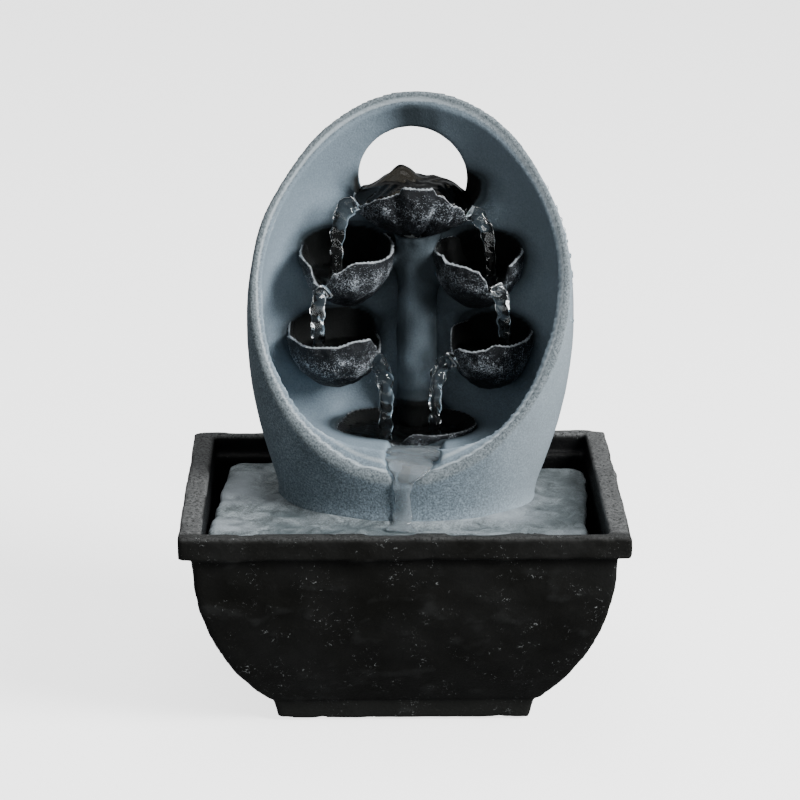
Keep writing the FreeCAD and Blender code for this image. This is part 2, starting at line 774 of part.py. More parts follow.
def make_shaft_parts():
    shaft_low = volute_x + 0.5
    shaft_high = well_end
    bush_bore = size("shaft_round") * half
    shaft = rod("Shaft", (shaft_low, pump_y, shaft_z), bush_bore, shaft_high - shaft_low, "x")
    sculpture_part(shaft, "pump_shaft")
    bush_radius = size("bush_round") * half
    back = tube(
        "BushBack",
        (well_end - size("bush_long"), pump_y, shaft_z),
        bush_radius,
        bush_bore,
        size("bush_long"),
        "x",
    )
    sculpture_part(back, "shaft_bush_back")
    place = (volute_x, pump_y, shaft_z)
    front = tube("BushFront", place, bush_radius, bush_bore, size("volute_wall"), "x")
    sculpture_part(front, "shaft_bush_front")
    rotor_bore = size("shaft_round") * half + size("shaft_gap")
    magnet = tube(
        "Magnet",
        (housing_x + 2, pump_y, shaft_z),
        size("magnet_round") * half,
        rotor_bore,
        size("magnet_long"),
        "x",
    )
    sculpture_part(magnet, "rotor_magnet")
    make_impeller(rotor_bore)


def make_impeller(rotor_bore):
    """A hub that reaches the magnet, a back disc and straight vanes set round it."""
    low_x = chamber_x + 1.5
    disc_x = low_x + size("impeller_long")
    hub = rod("impeller_hub", (low_x, pump_y, shaft_z), 3.5, housing_x + 2 - low_x, "x")
    disc = rod("impeller_disc", (disc_x - 1.2, pump_y, shaft_z), size("impeller_round") * half, 1.2, "x")
    count = int(size("vanes").number)
    vanes = []
    for index in range(count):
        vane = doc.addObject("Part::Box", "vane_{}".format(index + 1))
        vane_high = size("impeller_round") * half - 0.3
        bind(vane, Length=size("impeller_long") - 1, Width=size("vane_thick"), Height=vane_high)
        spin = FreeCAD.Rotation(FreeCAD.Vector(1, 0, 0), 360.0 * index / count)
        vane.Placement = FreeCAD.Placement(FreeCAD.Vector(), spin)
        for word, value in zip("xyz", (low_x, pump_y, shaft_z)):
            vane.setExpression("Placement.Base." + word, value.text)
        vanes.append(vane)
    solid = fuse("impeller_solid", hub, disc, *vanes)
    way = rod("impeller_way", (low_x - 1, pump_y, shaft_z), rotor_bore, housing_x + 4 - low_x, "x")
    sculpture_part(cut("Impeller", solid, way), "impeller")


def make_volute():
    """The pump chamber: a square cup in front of the housing, with the nozzle on its top."""
    half_side = size("chamber_round") * half + 3
    outside = box(
        "volute_block",
        (volute_x, pump_y - half_side, shaft_z - size("shaft_up")),
        (housing_x, pump_y + half_side, nozzle_low()),
    )
    nozzle_outer = size("hose_bore") * half - size("slip_gap")
    nozzle = rod("nozzle", (nozzle_x, pump_y, nozzle_low() - 1), nozzle_outer, size("nozzle_tall") + 1)
    nozzle_bore = nozzle_outer - size("nozzle_wall")
    way = rod("nozzle_way", (nozzle_x, pump_y, shaft_z), nozzle_bore, nozzle_top() - shaft_z + 1)
    chamber_radius = size("chamber_round") * half
    chamber = rod("chamber", (chamber_x, pump_y, shaft_z), chamber_radius, size("chamber_long") + 1, "x")
    outside_wall = (volute_x - 1, pump_y, shaft_z)
    through_wall = size("volute_wall") + 2
    inlet = rod("inlet", outside_wall, size("inlet_round") * half, through_wall, "x")
    bar = box(
        "bush_bar",
        (volute_x, pump_y - 1.5, shaft_z - size("inlet_round") * half - 1),
        (chamber_x, pump_y + 1.5, shaft_z + size("inlet_round") * half + 1),
    )
    bush_radius = size("bush_round") * half
    boss = rod("bush_boss", (volute_x, pump_y, shaft_z), bush_radius + 1, size("volute_wall"), "x")
    seat = rod("bush_seat", outside_wall, bush_radius, through_wall, "x")
    hub = cut("bush_holder", fuse("bush_holder_solid", bar, boss), seat)
    hollowed = cut("volute_cup", fuse("volute_solid", outside, nozzle), chamber, inlet, way)
    side = seal_radius()
    wide = size("seal_thick") * half + size("part_gap") * half
    start = (housing_x - size("seal_thick"), pump_y, shaft_z)
    groove = tube("seal_groove", start, side + wide, side - wide, size("seal_thick") + 1, "x")
    sculpture_part(cut("Volute", fuse("volute_with_bar", hollowed, hub), groove), "volute_cover")
    sculpture_part(seal_ring(), "seal_ring")


def seal_radius():
    return (size("chamber_round") + size("seal_thick")) * half + size("seal_edge")


def seal_ring():
    """The sealing ring, in its square groove in the chamber's back face."""
    ring = doc.addObject("Part::Torus", "SealRing")
    bind(ring, Radius1=seal_radius(), Radius2=size("seal_thick") * half - seal_gap)
    place = (housing_x - size("seal_thick") * half, pump_y, shaft_z)
    return move(ring, *place, axis=FreeCAD.Vector(0, 1, 0), angle=90)


def make_intake():
    """The intake cover in front of the chamber, its foam filter, and the flow slider on its face."""
    half_side = size("chamber_round") * half + 3
    high_x = volute_x - size("cover_gap")
    low_x = high_x - size("cover_long")
    low_z = pump_low
    high_z = nozzle_low()
    wall = size("cover_wall")
    outside = box("cover_block", (low_x, pump_y - half_side, low_z), (high_x, pump_y + half_side, high_z))
    inside = box(
        "cover_space",
        (low_x + wall, pump_y - half_side + wall, low_z + wall),
        (high_x + 1, pump_y + half_side - wall, high_z - wall),
    )
    solid = cut("cover_cup", outside, inside)
    count = int(size("slots").number)
    slots = []
    for index in range(count):
        middle = pump_y + size("slot_pitch") * as_size(index - (count - 1) / 2)
        slots.append(
            box(
                "slot_{}".format(index + 1),
                (low_x - 1, middle - size("slot_wide") * half, low_z + wall + 2),
                (low_x + wall + 1, middle + size("slot_wide") * half, shaft_z),
            )
        )
    guide = box(
        "slider_guide",
        (low_x - 1, pump_y - size("slider_travel") * half - 2.3, high_z - wall - 5.3),
        (low_x + wall + 1, pump_y + size("slider_travel") * half + 2.3, high_z - wall - 2.7),
    )
    sculpture_part(cut("IntakeCover", solid, *slots, guide), "intake_cover")
    gap = as_size(0.4)
    foam = box(
        "Foam",
        (low_x + wall + 2.4, pump_y - half_side + wall + gap, low_z + wall + gap),
        (high_x - 0.2, pump_y + half_side - wall - gap, high_z - wall - gap),
    )
    sculpture_part(foam, "filter_foam")
    start = pump_y - size("slider_travel") * half
    knob = box(
        "slider_knob",
        (low_x - 2.5, start - 2, high_z - wall - 5),
        (low_x + wall + 0.5, start + 2, high_z - wall - 3),
    )
    face = box(
        "slider_face",
        (low_x - 1.2, start - 4, high_z - wall - 7),
        (low_x - 0.3, start + 4, high_z - wall - 1),
    )
    keeper = box(
        "slider_keeper",
        (low_x + wall + 0.3, start - 2.6, high_z - wall - 6.4),
        (low_x + wall + 1.5, start + 2.6, high_z - wall - 1.6),
    )
    sculpture_part(fuse("FlowSlider", knob, face, keeper), "flow_slider")


def make_suction_cups():
    radius = size("cup_round") * half
    low_x = housing_x + radius + 1
    high_x = housing_end - radius - 1
    front_y = pump_y - pump_half + radius + 1
    back_y = pump_y + pump_half - radius - 1
    corners = [
        (as_size(0), as_size(1.6)),
        (radius - 1.2, as_size(0)),
        (radius, as_size(0)),
        (as_size(3), size("cup_tall") - 2),
        (as_size(3), size("cup_tall")),
        (as_size(0), size("cup_tall")),
    ]
    number = 0
    for x in (low_x, high_x):
        for y in (front_y, back_y):
            number += 1
            cup = turned("Cup{}".format(number), corners)
            # the cup's place is turned with the pump about the basin's middle
            turn = size("egg_turn")
            placed_x = "{0} * cos({2} * 1deg) + {1} * sin({2} * 1deg)".format(x.text, y.text, turn.text)
            placed_y = "{1} * cos({2} * 1deg) - {0} * sin({2} * 1deg)".format(x.text, y.text, turn.text)
            cup.setExpression("Placement.Base.x", placed_x)
            cup.setExpression("Placement.Base.y", placed_y)
            cup.setExpression("Placement.Base.z", floor_top.text)
            sub_part(cup, "suction_cup_{}".format(number))


def check_document():
    doc.recompute()
    for obj in doc.Objects:
        states = [word for word in obj.State if word in ("Invalid", "Error")]
        if states:
            raise RuntimeError("{} ({}) is {}".format(obj.Name, obj.Label, states))
    for obj in SUB_PARTS:
        if obj.Shape.isNull() or not obj.Shape.isValid():
            raise RuntimeError("{} has no valid shape".format(obj.Label))


def write_parts():
    os.makedirs("parts", exist_ok=True)
    for obj in SUB_PARTS:
        obj.Shape.exportStep("parts/{}.step".format(obj.Label))
        solids = len(obj.Shape.Solids)
        bounds = obj.Shape.optimalBoundingBox()
        print("{:24s} solids {} volume {:10.1f} z {:.1f} to {:.1f}".format(
            obj.Label, solids, obj.Shape.Volume, bounds.ZMin, bounds.ZMax))


make_basin()
make_foot_pads()
niche_egg = egg("niche_egg", size("egg_wall"))
hose_duct = make_duct("duct")
make_deck(niche_egg)
make_shell(niche_egg, hose_duct)
make_bowls(niche_egg, hose_duct)
make_hose()
make_outlet()
make_housing()
make_motor()
make_gland()
make_shaft_parts()
make_volute()
make_intake()
make_suction_cups()
check_document()
write_parts()
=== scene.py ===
import json
import math

import bmesh
import bpy
import numpy as np
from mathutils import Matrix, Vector


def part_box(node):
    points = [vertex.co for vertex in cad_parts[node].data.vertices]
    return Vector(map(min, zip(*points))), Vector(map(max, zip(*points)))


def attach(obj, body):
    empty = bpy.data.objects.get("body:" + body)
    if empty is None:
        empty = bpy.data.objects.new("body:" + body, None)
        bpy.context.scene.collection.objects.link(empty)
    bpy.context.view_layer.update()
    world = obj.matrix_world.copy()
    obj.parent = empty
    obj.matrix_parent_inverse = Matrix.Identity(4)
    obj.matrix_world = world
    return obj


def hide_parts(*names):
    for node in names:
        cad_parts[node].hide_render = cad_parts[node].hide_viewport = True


# A tabletop water fountain. Lengths are in millimetres, and are turned into metres when a mesh is made; only
# the floor and the lights are placed in metres. The stone pieces and the standing water are closed surfaces
# drawn round distance fields, which are negative inside and positive outside.

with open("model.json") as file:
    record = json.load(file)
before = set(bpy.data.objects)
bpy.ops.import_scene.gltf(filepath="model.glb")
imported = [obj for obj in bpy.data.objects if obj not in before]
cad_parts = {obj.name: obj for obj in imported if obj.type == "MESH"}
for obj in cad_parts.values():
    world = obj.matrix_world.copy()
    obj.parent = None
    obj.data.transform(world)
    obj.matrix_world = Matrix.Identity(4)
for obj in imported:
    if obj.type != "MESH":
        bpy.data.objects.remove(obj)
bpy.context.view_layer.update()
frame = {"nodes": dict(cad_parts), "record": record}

MM = 0.001


def node_box(node):
    """A node's lowest and highest corners, in millimetres."""
    low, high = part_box(node)
    return np.array(low) / MM, np.array(high) / MM


basin_low, basin_high = node_box("basin")
deck_high = node_box("deck")[1]

# ------------------------------------------------------------------ driving sizes
RIM_TOP = basin_high[2]
RIM_HALF_WIDE = basin_high[0]
RIM_HALF_DEEP = basin_high[1]
RIM_BAND = 11.0
OPEN_HALF_WIDE = RIM_HALF_WIDE - 10.0
OPEN_HALF_DEEP = RIM_HALF_DEEP - 6.0
BODY_HALF_WIDE = RIM_HALF_WIDE - 5.5
BODY_HALF_DEEP = RIM_HALF_DEEP - 4.0
FOOT_HALF_WIDE = 60.0
FOOT_HALF_DEEP = 42.0
BODY_LOW_WIDE = 61.5
BODY_LOW_DEEP = 43.0
BODY_CORNER = 2.5
FOOT_TAPER = 2.0
FOOT_LOW = basin_low[2]
BODY_LOW = FOOT_LOW + 10.0
BODY_TOP = RIM_TOP - RIM_BAND
OPENING_LOW = BODY_TOP + 1.6
HOLLOW_LAP = 3
FLOOR_TOP = BODY_LOW + 5.5
BASIN_WALL = 5.0
CORD_NOTCH_LEFT = 36
CORD_NOTCH_RIGHT = 44
CORD_NOTCH_DEEP = 7
CUT_CLEAR = 9
WATER_LEVEL = 79.0

DECK_TOP = deck_high[2]
DECK_LOW = DECK_TOP - 6.0
DECK_TURN = math.radians(3.5)
DECK_HALF_WIDE = OPEN_HALF_WIDE - 4.5
DECK_FRONT = -(OPEN_HALF_DEEP - 9.0)
DECK_BACK = OPEN_HALF_DEEP - 12.0

EGG_TURN = math.radians(6.0)
EGG_X = 2.2
EGG_Y = 12.0
EGG_Z = DECK_TOP + 84.0
EGG_HALF_WIDE = 75.0
EGG_HALF_DEEP = 47.5
EGG_RISE = 121.0
EGG_DROP = 124.0
EGG_WALL = 6.0
CUT_LEAN = math.radians(21.3)
CUT_FRONT = 16.0
NICHE_TOP = DECK_TOP + 31.0
NICHE_LOW = DECK_TOP + 18.0
WINDOW_RADIUS = 25.0
WINDOW_LEFT = 2.5
WINDOW_Z = DECK_TOP + 144.0
HOSE_X = EGG_X
HOSE_Y = 38.0
HOSE_BORE = 5.4
DUCT_RADIUS = 9.2
DUCT_SHIFT_X = 1.2
DUCT_SHIFT_Y = 0.4
DUCT_TOP = DECK_TOP + 133.0


# ------------------------------------------------------------------ fields
LATTICE_SIZE = 32
LATTICES = {}


def lattice(seed):
    """A cube of random values from -1 to 1, which noise repeats in every direction."""
    values = np.random.default_rng(seed).uniform(-1, 1, (LATTICE_SIZE, LATTICE_SIZE, LATTICE_SIZE))
    return values.astype(np.float32)


def noise(points, cell, seed):
    """Smooth value noise from -1 to 1; cell is the size of one bump, in mm, or one size per axis."""
    if seed not in LATTICES:
        LATTICES[seed] = lattice(seed)
    table = LATTICES[seed]
    scaled = points / np.asarray(cell, dtype=np.float32)
    base = np.floor(scaled).astype(np.int64)
    part = scaled - base
    part = part * part * (3 - 2 * part)
    total = 0
    for corner in range(8):
        step = np.array([corner & 1, corner >> 1 & 1, corner >> 2 & 1])
        weight = np.prod(np.where(step == 1, part, 1 - part), axis=-1)
        index = (base + step) % LATTICE_SIZE
        total = total + weight * table[index[..., 0], index[..., 1], index[..., 2]]
    return total


def rough(points, cell, seed, octaves=4, gain=0.5):
    """Fractal noise: each octave is about half the size and a share of the height of the last."""
    total = 0
    height = 1.0
    size = np.asarray(cell, dtype=np.float32)
    for octave in range(octaves):
        total = total + height * noise(points, size, seed + octave)
        height *= gain
        size = size / 2.03
    return total


def step_up(value, low, high):
    """A smooth rise from 0 to 1 as a value goes from low to high."""
    part = np.clip((value - low) / (high - low), 0, 1)
    return part * part * (3 - 2 * part)


def soft_min(first, second, radius):
    """The smaller of two values, with the crease between them rounded off."""
    part = np.clip(0.5 + 0.5 * (second - first) / radius, 0, 1)
    return second * (1 - part) + first * part - radius * part * (1 - part)


def soft_max(first, second, radius):
    return -soft_min(-first, -second, radius)


def ellipsoid(x, y, z, centre, radii):
    """About the distance to an ellipsoid, and exactly zero on it."""
    px = (x - centre[0]) / radii[0]
    py = (y - centre[1]) / radii[1]
    pz = (z - centre[2]) / radii[2]
    near = np.sqrt(px * px + py * py + pz * pz) + 1e-6
    slope = np.sqrt((px / radii[0]) ** 2 + (py / radii[1]) ** 2 + (pz / radii[2]) ** 2) + 1e-6
    return near * (near - 1) / slope


def block(x, y, z, low, high, corner=0.0):
    """A box with rounded edges."""
    sides = []
    for value, a, b in zip((x, y, z), low, high):
        sides.append(abs(value - (a + b) / 2) - (b - a) / 2 + corner)
    outside = np.sqrt(sum(np.maximum(side, 0) ** 2 for side in sides))
    inside = np.minimum(np.maximum(np.maximum(sides[0], sides[1]), sides[2]), 0)
    return outside + inside - corner


# ------------------------------------------------------------------ surfaces
def grid(low, high, step):
    """The x, y and z of a box's grid points, each shaped to spread over the other two."""
    axes = [np.arange(a, b + step, step, dtype=np.float32) for a, b in zip(low, high)]
    return np.meshgrid(*axes, indexing="ij", sparse=True)


def detail(field, x, y, z, change, reach):
    """Adds a fine change to a field, worked out only near its look."""
    near = np.abs(field) < reach
    full = np.broadcast_arrays(x, y, z)
    points = np.stack([axis[near] for axis in full], axis=-1)
    field[near] += change(points)
    return field


def net(field, low, step):
    """The closed surface where a field on a grid is zero: vertices in mm, and four-sided faces."""
    inside = field < 0
    counts = [size - 1 for size in field.shape]
    cells = counts[0] * counts[1] * counts[2]
    total = np.zeros((cells, 3))
    number = np.zeros(cells)
    quads = []
    strides = np.array([counts[1] * counts[2], counts[2], 1])
    for axis in range(3):
        lower = [slice(None)] * 3
        upper = [slice(None)] * 3
        lower[axis] = slice(0, -1)
        upper[axis] = slice(1, None)
        crossing = inside[tuple(lower)] != inside[tuple(upper)]
        index = np.argwhere(crossing)
        first = field[tuple(lower)][crossing]
        second = field[tuple(upper)][crossing]
        place = index.astype(np.float64)
        place[:, axis] += first / (first - second)
        others = [other for other in range(3) if other != axis]
        keep = np.ones(len(index), dtype=bool)
        for other in others:
            keep &= (index[:, other] >= 1) & (index[:, other] <= counts[other] - 1)
        index = index[keep]
        place = place[keep]
        starts_inside = (first < 0)[keep]
        around = []
        for shift in ((1, 1), (0, 1), (0, 0), (1, 0)):
            cell = index.copy()
            cell[:, others[0]] -= shift[0]
            cell[:, others[1]] -= shift[1]
            flat = cell @ strides
            around.append(flat)
            number += np.bincount(flat, minlength=cells)
            for part in range(3):
                total[:, part] += np.bincount(flat, weights=place[:, part], minlength=cells)
        faces = np.stack(around, axis=1)
        flip = starts_inside if axis != 1 else ~starts_inside
        faces[~flip] = faces[~flip][:, ::-1]
        quads.append(faces)
    used = number > 0
    vertices = total[used] / number[used][:, None] * step + np.asarray(low)
    renumber = np.cumsum(used) - 1
    return vertices, renumber[np.concatenate(quads)]


def turned(vertices, angle):
    """Points turned clockwise, seen from above, about the basin's middle."""
    result = vertices.copy()
    result[:, 0] = vertices[:, 0] * math.cos(angle) + vertices[:, 1] * math.sin(angle)
    result[:, 1] = vertices[:, 1] * math.cos(angle) - vertices[:, 0] * math.sin(angle)
    return result


def make_object(name, vertices, faces, angle=0.0, paint=None):
    """A smooth mesh object in metres; paint maps attribute names to one value per vertex."""
    mesh = bpy.data.meshes.new(name)
    places = (turned(vertices, angle) * MM).tolist()
    mesh.from_pydata(places, [], faces)
    mesh.validate()
    for word, values in (paint or {}).items():
        layer = mesh.attributes.new(word, "FLOAT", "POINT")
        layer.data.foreach_set("value", np.asarray(values, dtype=np.float32))
    for face in mesh.polygons:
        face.use_smooth = True
    piece = bpy.data.objects.new(name, mesh)
    bpy.context.scene.collection.objects.link(piece)
    return piece


def carve(name, field, low, high, step, angle=0.0, paint=None):
    """An object whose surface is where field(x, y, z) is zero, inside a box."""
    x, y, z = grid(low, high, step)
    vertices, faces = net(field(x, y, z), low, step)
    values = {word: rule(vertices) for word, rule in (paint or {}).items()}
    return make_object(name, vertices, faces.tolist(), angle, values)


def at(rule, points):
    """A field's value at listed points."""
    return rule(points[:, 0], points[:, 1], points[:, 2])


# ------------------------------------------------------------------ basin
def body_half(z, top_half, low_half):
    """Half size of the basin's body at a height, on a circular arc, and how steeply it changes."""
    inward = top_half - low_half
    tall = BODY_TOP - BODY_LOW
    radius = (inward * inward + tall * tall) / (2 * inward)
    down = np.clip(BODY_TOP - z, 0, tall)
    upright = np.sqrt(radius * radius - down * down)
    return top_half - radius + upright, down / upright


def body_sides(x, y, z, inset):
    """Distance to the sides of the basin's body, drawn in by an inset."""
    half_x, slope_x = body_half(z, BODY_HALF_WIDE, BODY_LOW_WIDE)
    half_y, slope_y = body_half(z, BODY_HALF_DEEP, BODY_LOW_DEEP)
    side_x = (np.abs(x) - half_x) / np.sqrt(1 + slope_x**2) + inset
    side_y = (np.abs(y) - half_y) / np.sqrt(1 + slope_y**2) + inset
    return soft_max(side_x, side_y, BODY_CORNER)


def slate_flakes(points):
    return rough(points, (11, 11, 6), 10, 4, 0.55)


def basin_field(x, y, z):
    """A foot, a body and a band round the rim, hollowed out, with a notch for the pump's cord."""
    ends = np.maximum(BODY_LOW - z, z - BODY_TOP - RIM_BAND / 2)
    body = soft_max(body_sides(x, y, z, 0), ends, 1.0)
    narrow = FOOT_TAPER * (BODY_LOW - z) / (BODY_LOW - FOOT_LOW)
    foot = soft_max(np.abs(x) - FOOT_HALF_WIDE + narrow, np.abs(y) - FOOT_HALF_DEEP + narrow, 2.0)
    foot = soft_max(foot, FOOT_LOW - z, 1.0)
    foot = np.maximum(foot, z - BODY_LOW - 2)
    band_low = (-RIM_HALF_WIDE, -RIM_HALF_DEEP, BODY_TOP)
    band_high = (RIM_HALF_WIDE, RIM_HALF_DEEP, RIM_TOP)
    band = block(x, y, z, band_low, band_high, 1.2)
    solid = np.minimum(np.minimum(body, band), foot)

    def slate(points):
        near_band = np.exp(-np.abs(points[:, 2] - BODY_TOP) / 3)
        near_edge = near_band + np.exp(-np.abs(points[:, 2] - RIM_TOP) / 2)
        pits = np.minimum(rough(points, 2.6, 20, 2) + 0.75, 0)
        return (0.3 + 0.25 * near_edge) * slate_flakes(points) - 0.5 * pits

    solid = detail(solid, x, y, z, slate, 4.0)
    hollow = np.maximum(body_sides(x, y, z, BASIN_WALL), FLOOR_TOP - z)
    opening_low = (-OPEN_HALF_WIDE, -OPEN_HALF_DEEP, OPENING_LOW)
    opening_high = (OPEN_HALF_WIDE, OPEN_HALF_DEEP, RIM_TOP + CUT_CLEAR)
    opening = block(x, y, z, opening_low, opening_high, 1.5)
    hollow = np.minimum(np.maximum(hollow, z - BODY_TOP - HOLLOW_LAP), opening)
    notch_low = (CORD_NOTCH_LEFT, OPEN_HALF_DEEP - 3, RIM_TOP - CORD_NOTCH_DEEP)
    notch_high = (CORD_NOTCH_RIGHT, RIM_HALF_DEEP + CUT_CLEAR, RIM_TOP + CUT_CLEAR)
    notch = block(x, y, z, notch_low, notch_high, 1.0)
    return np.maximum(solid, -np.minimum(hollow, notch))


# ------------------------------------------------------------------ bowls
# Each bowl, in the shell's own frame: the middle of its rim; its half width, half depth and depth; the height
# of its water above that middle; and the waves of its rim, as (direction in degrees, height above it).
BOWLS = {
    "upper_left_bowl": (
        (-28.8, 31.0, 205), (22, 28, 26), -10.5,
        [(190, -1), (215, -1.5), (232, -3), (238, -12), (248, -14.5), (256, -10), (264, -4.5), (285, 0.5),
         (325, -1), (350, -1), (8, 2), (60, 3), (117, 3), (165, 0.5)],
    ),
    "upper_right_bowl": (
        (32.2, 33.5, 205), (21, 22, 27), -10,
        [(185, 0.5), (220, 1), (232, -1.5), (255, -2), (272, -4), (282, -8), (289, -14), (313, -14),
         (317, -3), (336, -0.5), (0, 0.5), (35, 1), (90, 1), (148, 2.5)],
    ),
    "lower_left_bowl": (
        (-33.8, 31.5, 165), (23, 28, 26), -8,
        [(170, 3.5), (189, -1), (219, 0.5), (244, -0.5), (275, 0.5), (295, 2.5), (314, 2), (328, -3),
         (338, -9), (350, -12), (10, -11), (32, -7), (60, -3), (80, -2.5), (117, -1)],
    ),
    "lower_right_bowl": (
        (38.2, 33.5, 165), (20, 22, 26), -8,
        [(160, 1), (178, -5), (188, -13), (200, -12), (215, -5), (226, -3), (248, -3), (266, -1.5),
         (278, 1), (300, 0), (322, 0.5), (348, 1.5), (46, 1.5), (92, 1), (137, 1)],
    ),
    "top_bowl": (
        (3.2, 36.5, 235), (31, 22, 24), 2,
        [(250, 0), (257, 3.5), (295, 3), (303, -0.5), (321, -6), (345, -13), (5, -12), (30, -6), (60, -3),
         (107, -3), (150, -3), (178, -6), (198, -9), (212, -6), (230, -2.5)],
    ),
    "pool_bowl": (
        (-0.8, 20.5, 125), (34, 22, 12), -4.5,
        [(172, -3), (220, -4), (250, -3.5), (263, -5), (287, 1), (310, 0), (340, 0), (30, 1), (90, 0.5),
         (148, 0)],
    ),
}
BOWL_WALL = 2.2
BOWL_THICKER = 0.8
BOWL_ROOT = 2.5
MOUTH_RISE = 9.0
CREASES = (250, 300)
CREASE_DEEP = 2.4
CREASE_WIDE = 0.13


def bowl_waves(name, angle):
    """The height of a bowl's rim in a direction, above the middle of the rim."""
    waves = sorted((math.radians(turn % 360), height) for turn, height in BOWLS[name][3])
    turns = np.array([turn for turn, _ in waves])
    heights = np.array([height for _, height in waves])
    turns = np.concatenate([turns[-1:] - 2 * math.pi, turns, turns[:1] + 2 * math.pi])
    heights = np.concatenate([heights[-1:], heights, heights[:1]])
    around = np.mod(angle, 2 * math.pi)
    after = np.clip(np.searchsorted(turns, around, side="right"), 1, len(turns) - 1)
    part = (around - turns[after - 1]) / (turns[after] - turns[after - 1])
    part = part * part * (3 - 2 * part)
    return heights[after - 1] * (1 - part) + heights[after] * part


def bowl_outside(name, x, y, z):
    """Distance to a bowl's outside. Above its rim the wall goes on upright; the top bowl is creased."""
    centre, radii = BOWLS[name][0], BOWLS[name][1]
    angle = np.arctan2(y - centre[1], x - centre[0])
    pull = 0
    if name == "top_bowl":
        for crease in CREASES:
            away = (angle - math.radians(crease) + math.pi) % (2 * math.pi) - math.pi
            pull = pull + CREASE_DEEP * np.exp(-((away / CREASE_WIDE) ** 2))
    below = centre[2] + np.minimum(z - centre[2], 0)
    return ellipsoid(x, y, below, centre, radii) + pull


def bowl_mouth(name, x, y, z):
    """The bowl's hollow, arched over above its rim."""
    centre, radii = BOWLS[name][0], BOWLS[name][1]
    arch = centre[2] + np.where(z > centre[2], (z - centre[2]) * radii[2] / MOUTH_RISE, z - centre[2])
    return ellipsoid(x, y, arch, centre, radii)


def bowl_lip(name, x, y):
    """The height of the rim's top edge in the direction of a point."""
    centre = BOWLS[name][0]
    return centre[2] + bowl_waves(name, np.arctan2(y - centre[1], x - centre[0]))


def bowl_wall(name, z):
    """The wall's thickness, which grows towards the bottom."""
    centre, radii = BOWLS[name][0], BOWLS[name][1]
    return BOWL_WALL + BOWL_THICKER * step_up(centre[2] - z, 4, radii[2])


def bowl_grain(points):
    return rough(points, 4.6, 30, 4, 0.6)


def bowl_field(name):
    """The bowl's stone, from its chipped rim to its root in the shell's wall."""

    def stone(points):
        return 0.55 * bowl_grain(points)

    def field(x, y, z):
        outside = bowl_outside(name, x, y, z)
        lip = bowl_lip(name, x, y)
        skin = detail(outside + 0 * z, x, y, z, stone, 2.5)
        bowl = soft_max(skin, -(outside + bowl_wall(name, z)), 0.8)
        bowl = soft_max(bowl, z - lip - 0.5 * np.sin((x + y) * 1.9) * np.sin((x - y) * 1.3), 1.2)
        return np.maximum(bowl, egg(x, y, z, EGG_WALL - BOWL_ROOT))

    return field


def bowl_paint(name):
    """Where the bowl is bright along its edge, dark inside, raised, and dusted with silver."""
    centre, radii = BOWLS[name][0], BOWLS[name][1]

    def edge(points):
        lip = at(lambda x, y, z: bowl_lip(name, x, y), points)
        outside = at(lambda x, y, z: bowl_outside(name, x, y, z), points)
        bright = 0.55 if name == "pool_bowl" else 1.0
        return bright * np.exp(-((points[:, 2] - lip) ** 2) / 0.5) * step_up(outside, -1.9, -0.9)

    def cavity(points):
        outside = at(lambda x, y, z: bowl_outside(name, x, y, z), points)
        return 1 - step_up(outside, -1.6, -0.8)

    def rise(points):
        return bowl_grain(points) * -0.5 + 0.5

    def dust(points):
        return np.exp(-(((points[:, 2] - centre[2]) / radii[2] + 0.4) / 0.36) ** 2)

    return {"edge": edge, "cavity": cavity, "rise": rise, "dust": dust}


# ------------------------------------------------------------------ shell and deck
EGG_LEAN = 0.018
EGG_NARROW = 0.04
NARROW_Z = DECK_TOP + 163.0
NARROW_REACH = 25.0
FLARE = 4.5
FLARE_REACH = 6.0
RING_LAND = 3.4
RABBET_DEEP = 1.2
SHELL_EDGE = 1.5
NICHE_COVE = 14.0
RIB_FILLET = 12
NEST_FILLET = 11
NEST_GAP = 1.6
SEAT_GAP = 0.6
SPILL_TOP = 121
SPILL_LOW = 110.5
SPILL_CEILING = 125
SPILL_LEFT = -6
SPILL_LEFT_SLOPE = 0.62
SPILL_RIGHT = 19
SPILL_RIGHT_SLOPE = 1.35


def egg(x, y, z, inset=0.0):
    """About the distance to the oval, drawn in by an inset. It leans right, and narrows near its top."""
    rise = np.where(z > EGG_Z, EGG_RISE, EGG_DROP) - inset
    wide = (EGG_HALF_WIDE - inset) * (1 - EGG_NARROW * np.exp(-(((z - NARROW_Z) / NARROW_REACH) ** 2)))
    deep = EGG_HALF_DEEP - inset
    px = (x - EGG_X - EGG_LEAN * (z - EGG_Z)) / wide
    py = (y - EGG_Y) / deep
    pz = (z - EGG_Z) / rise
    near = np.sqrt(px * px + py * py + pz * pz) + 1e-6
    slope = np.sqrt((px / wide) ** 2 + (py / deep) ** 2 + (pz / rise) ** 2) + 1e-6
    return near * (near - 1) / slope


def open_face(y, z):
    """Distance in front of the leaning open face."""
    return (z - EGG_Z) * math.sin(CUT_LEAN) - (y - EGG_Y + CUT_FRONT) * math.cos(CUT_LEAN)


def nests(wall, lining, x, y, z):
    """The wall swells round the root of each bowl, and stays out of the bowl's hollow."""
    for name, (centre, _, _, _) in BOWLS.items():
        if name == "pool_bowl":
            continue
        outside = bowl_outside(name, x, y, z)
        core = soft_max(outside + BOWL_WALL, z - centre[2] + 5, 3)
        wall = soft_min(wall, core, NEST_FILLET)
        wall = np.maximum(wall, -np.maximum(bowl_mouth(name, x, y, z) + NEST_GAP, lining))
    return wall


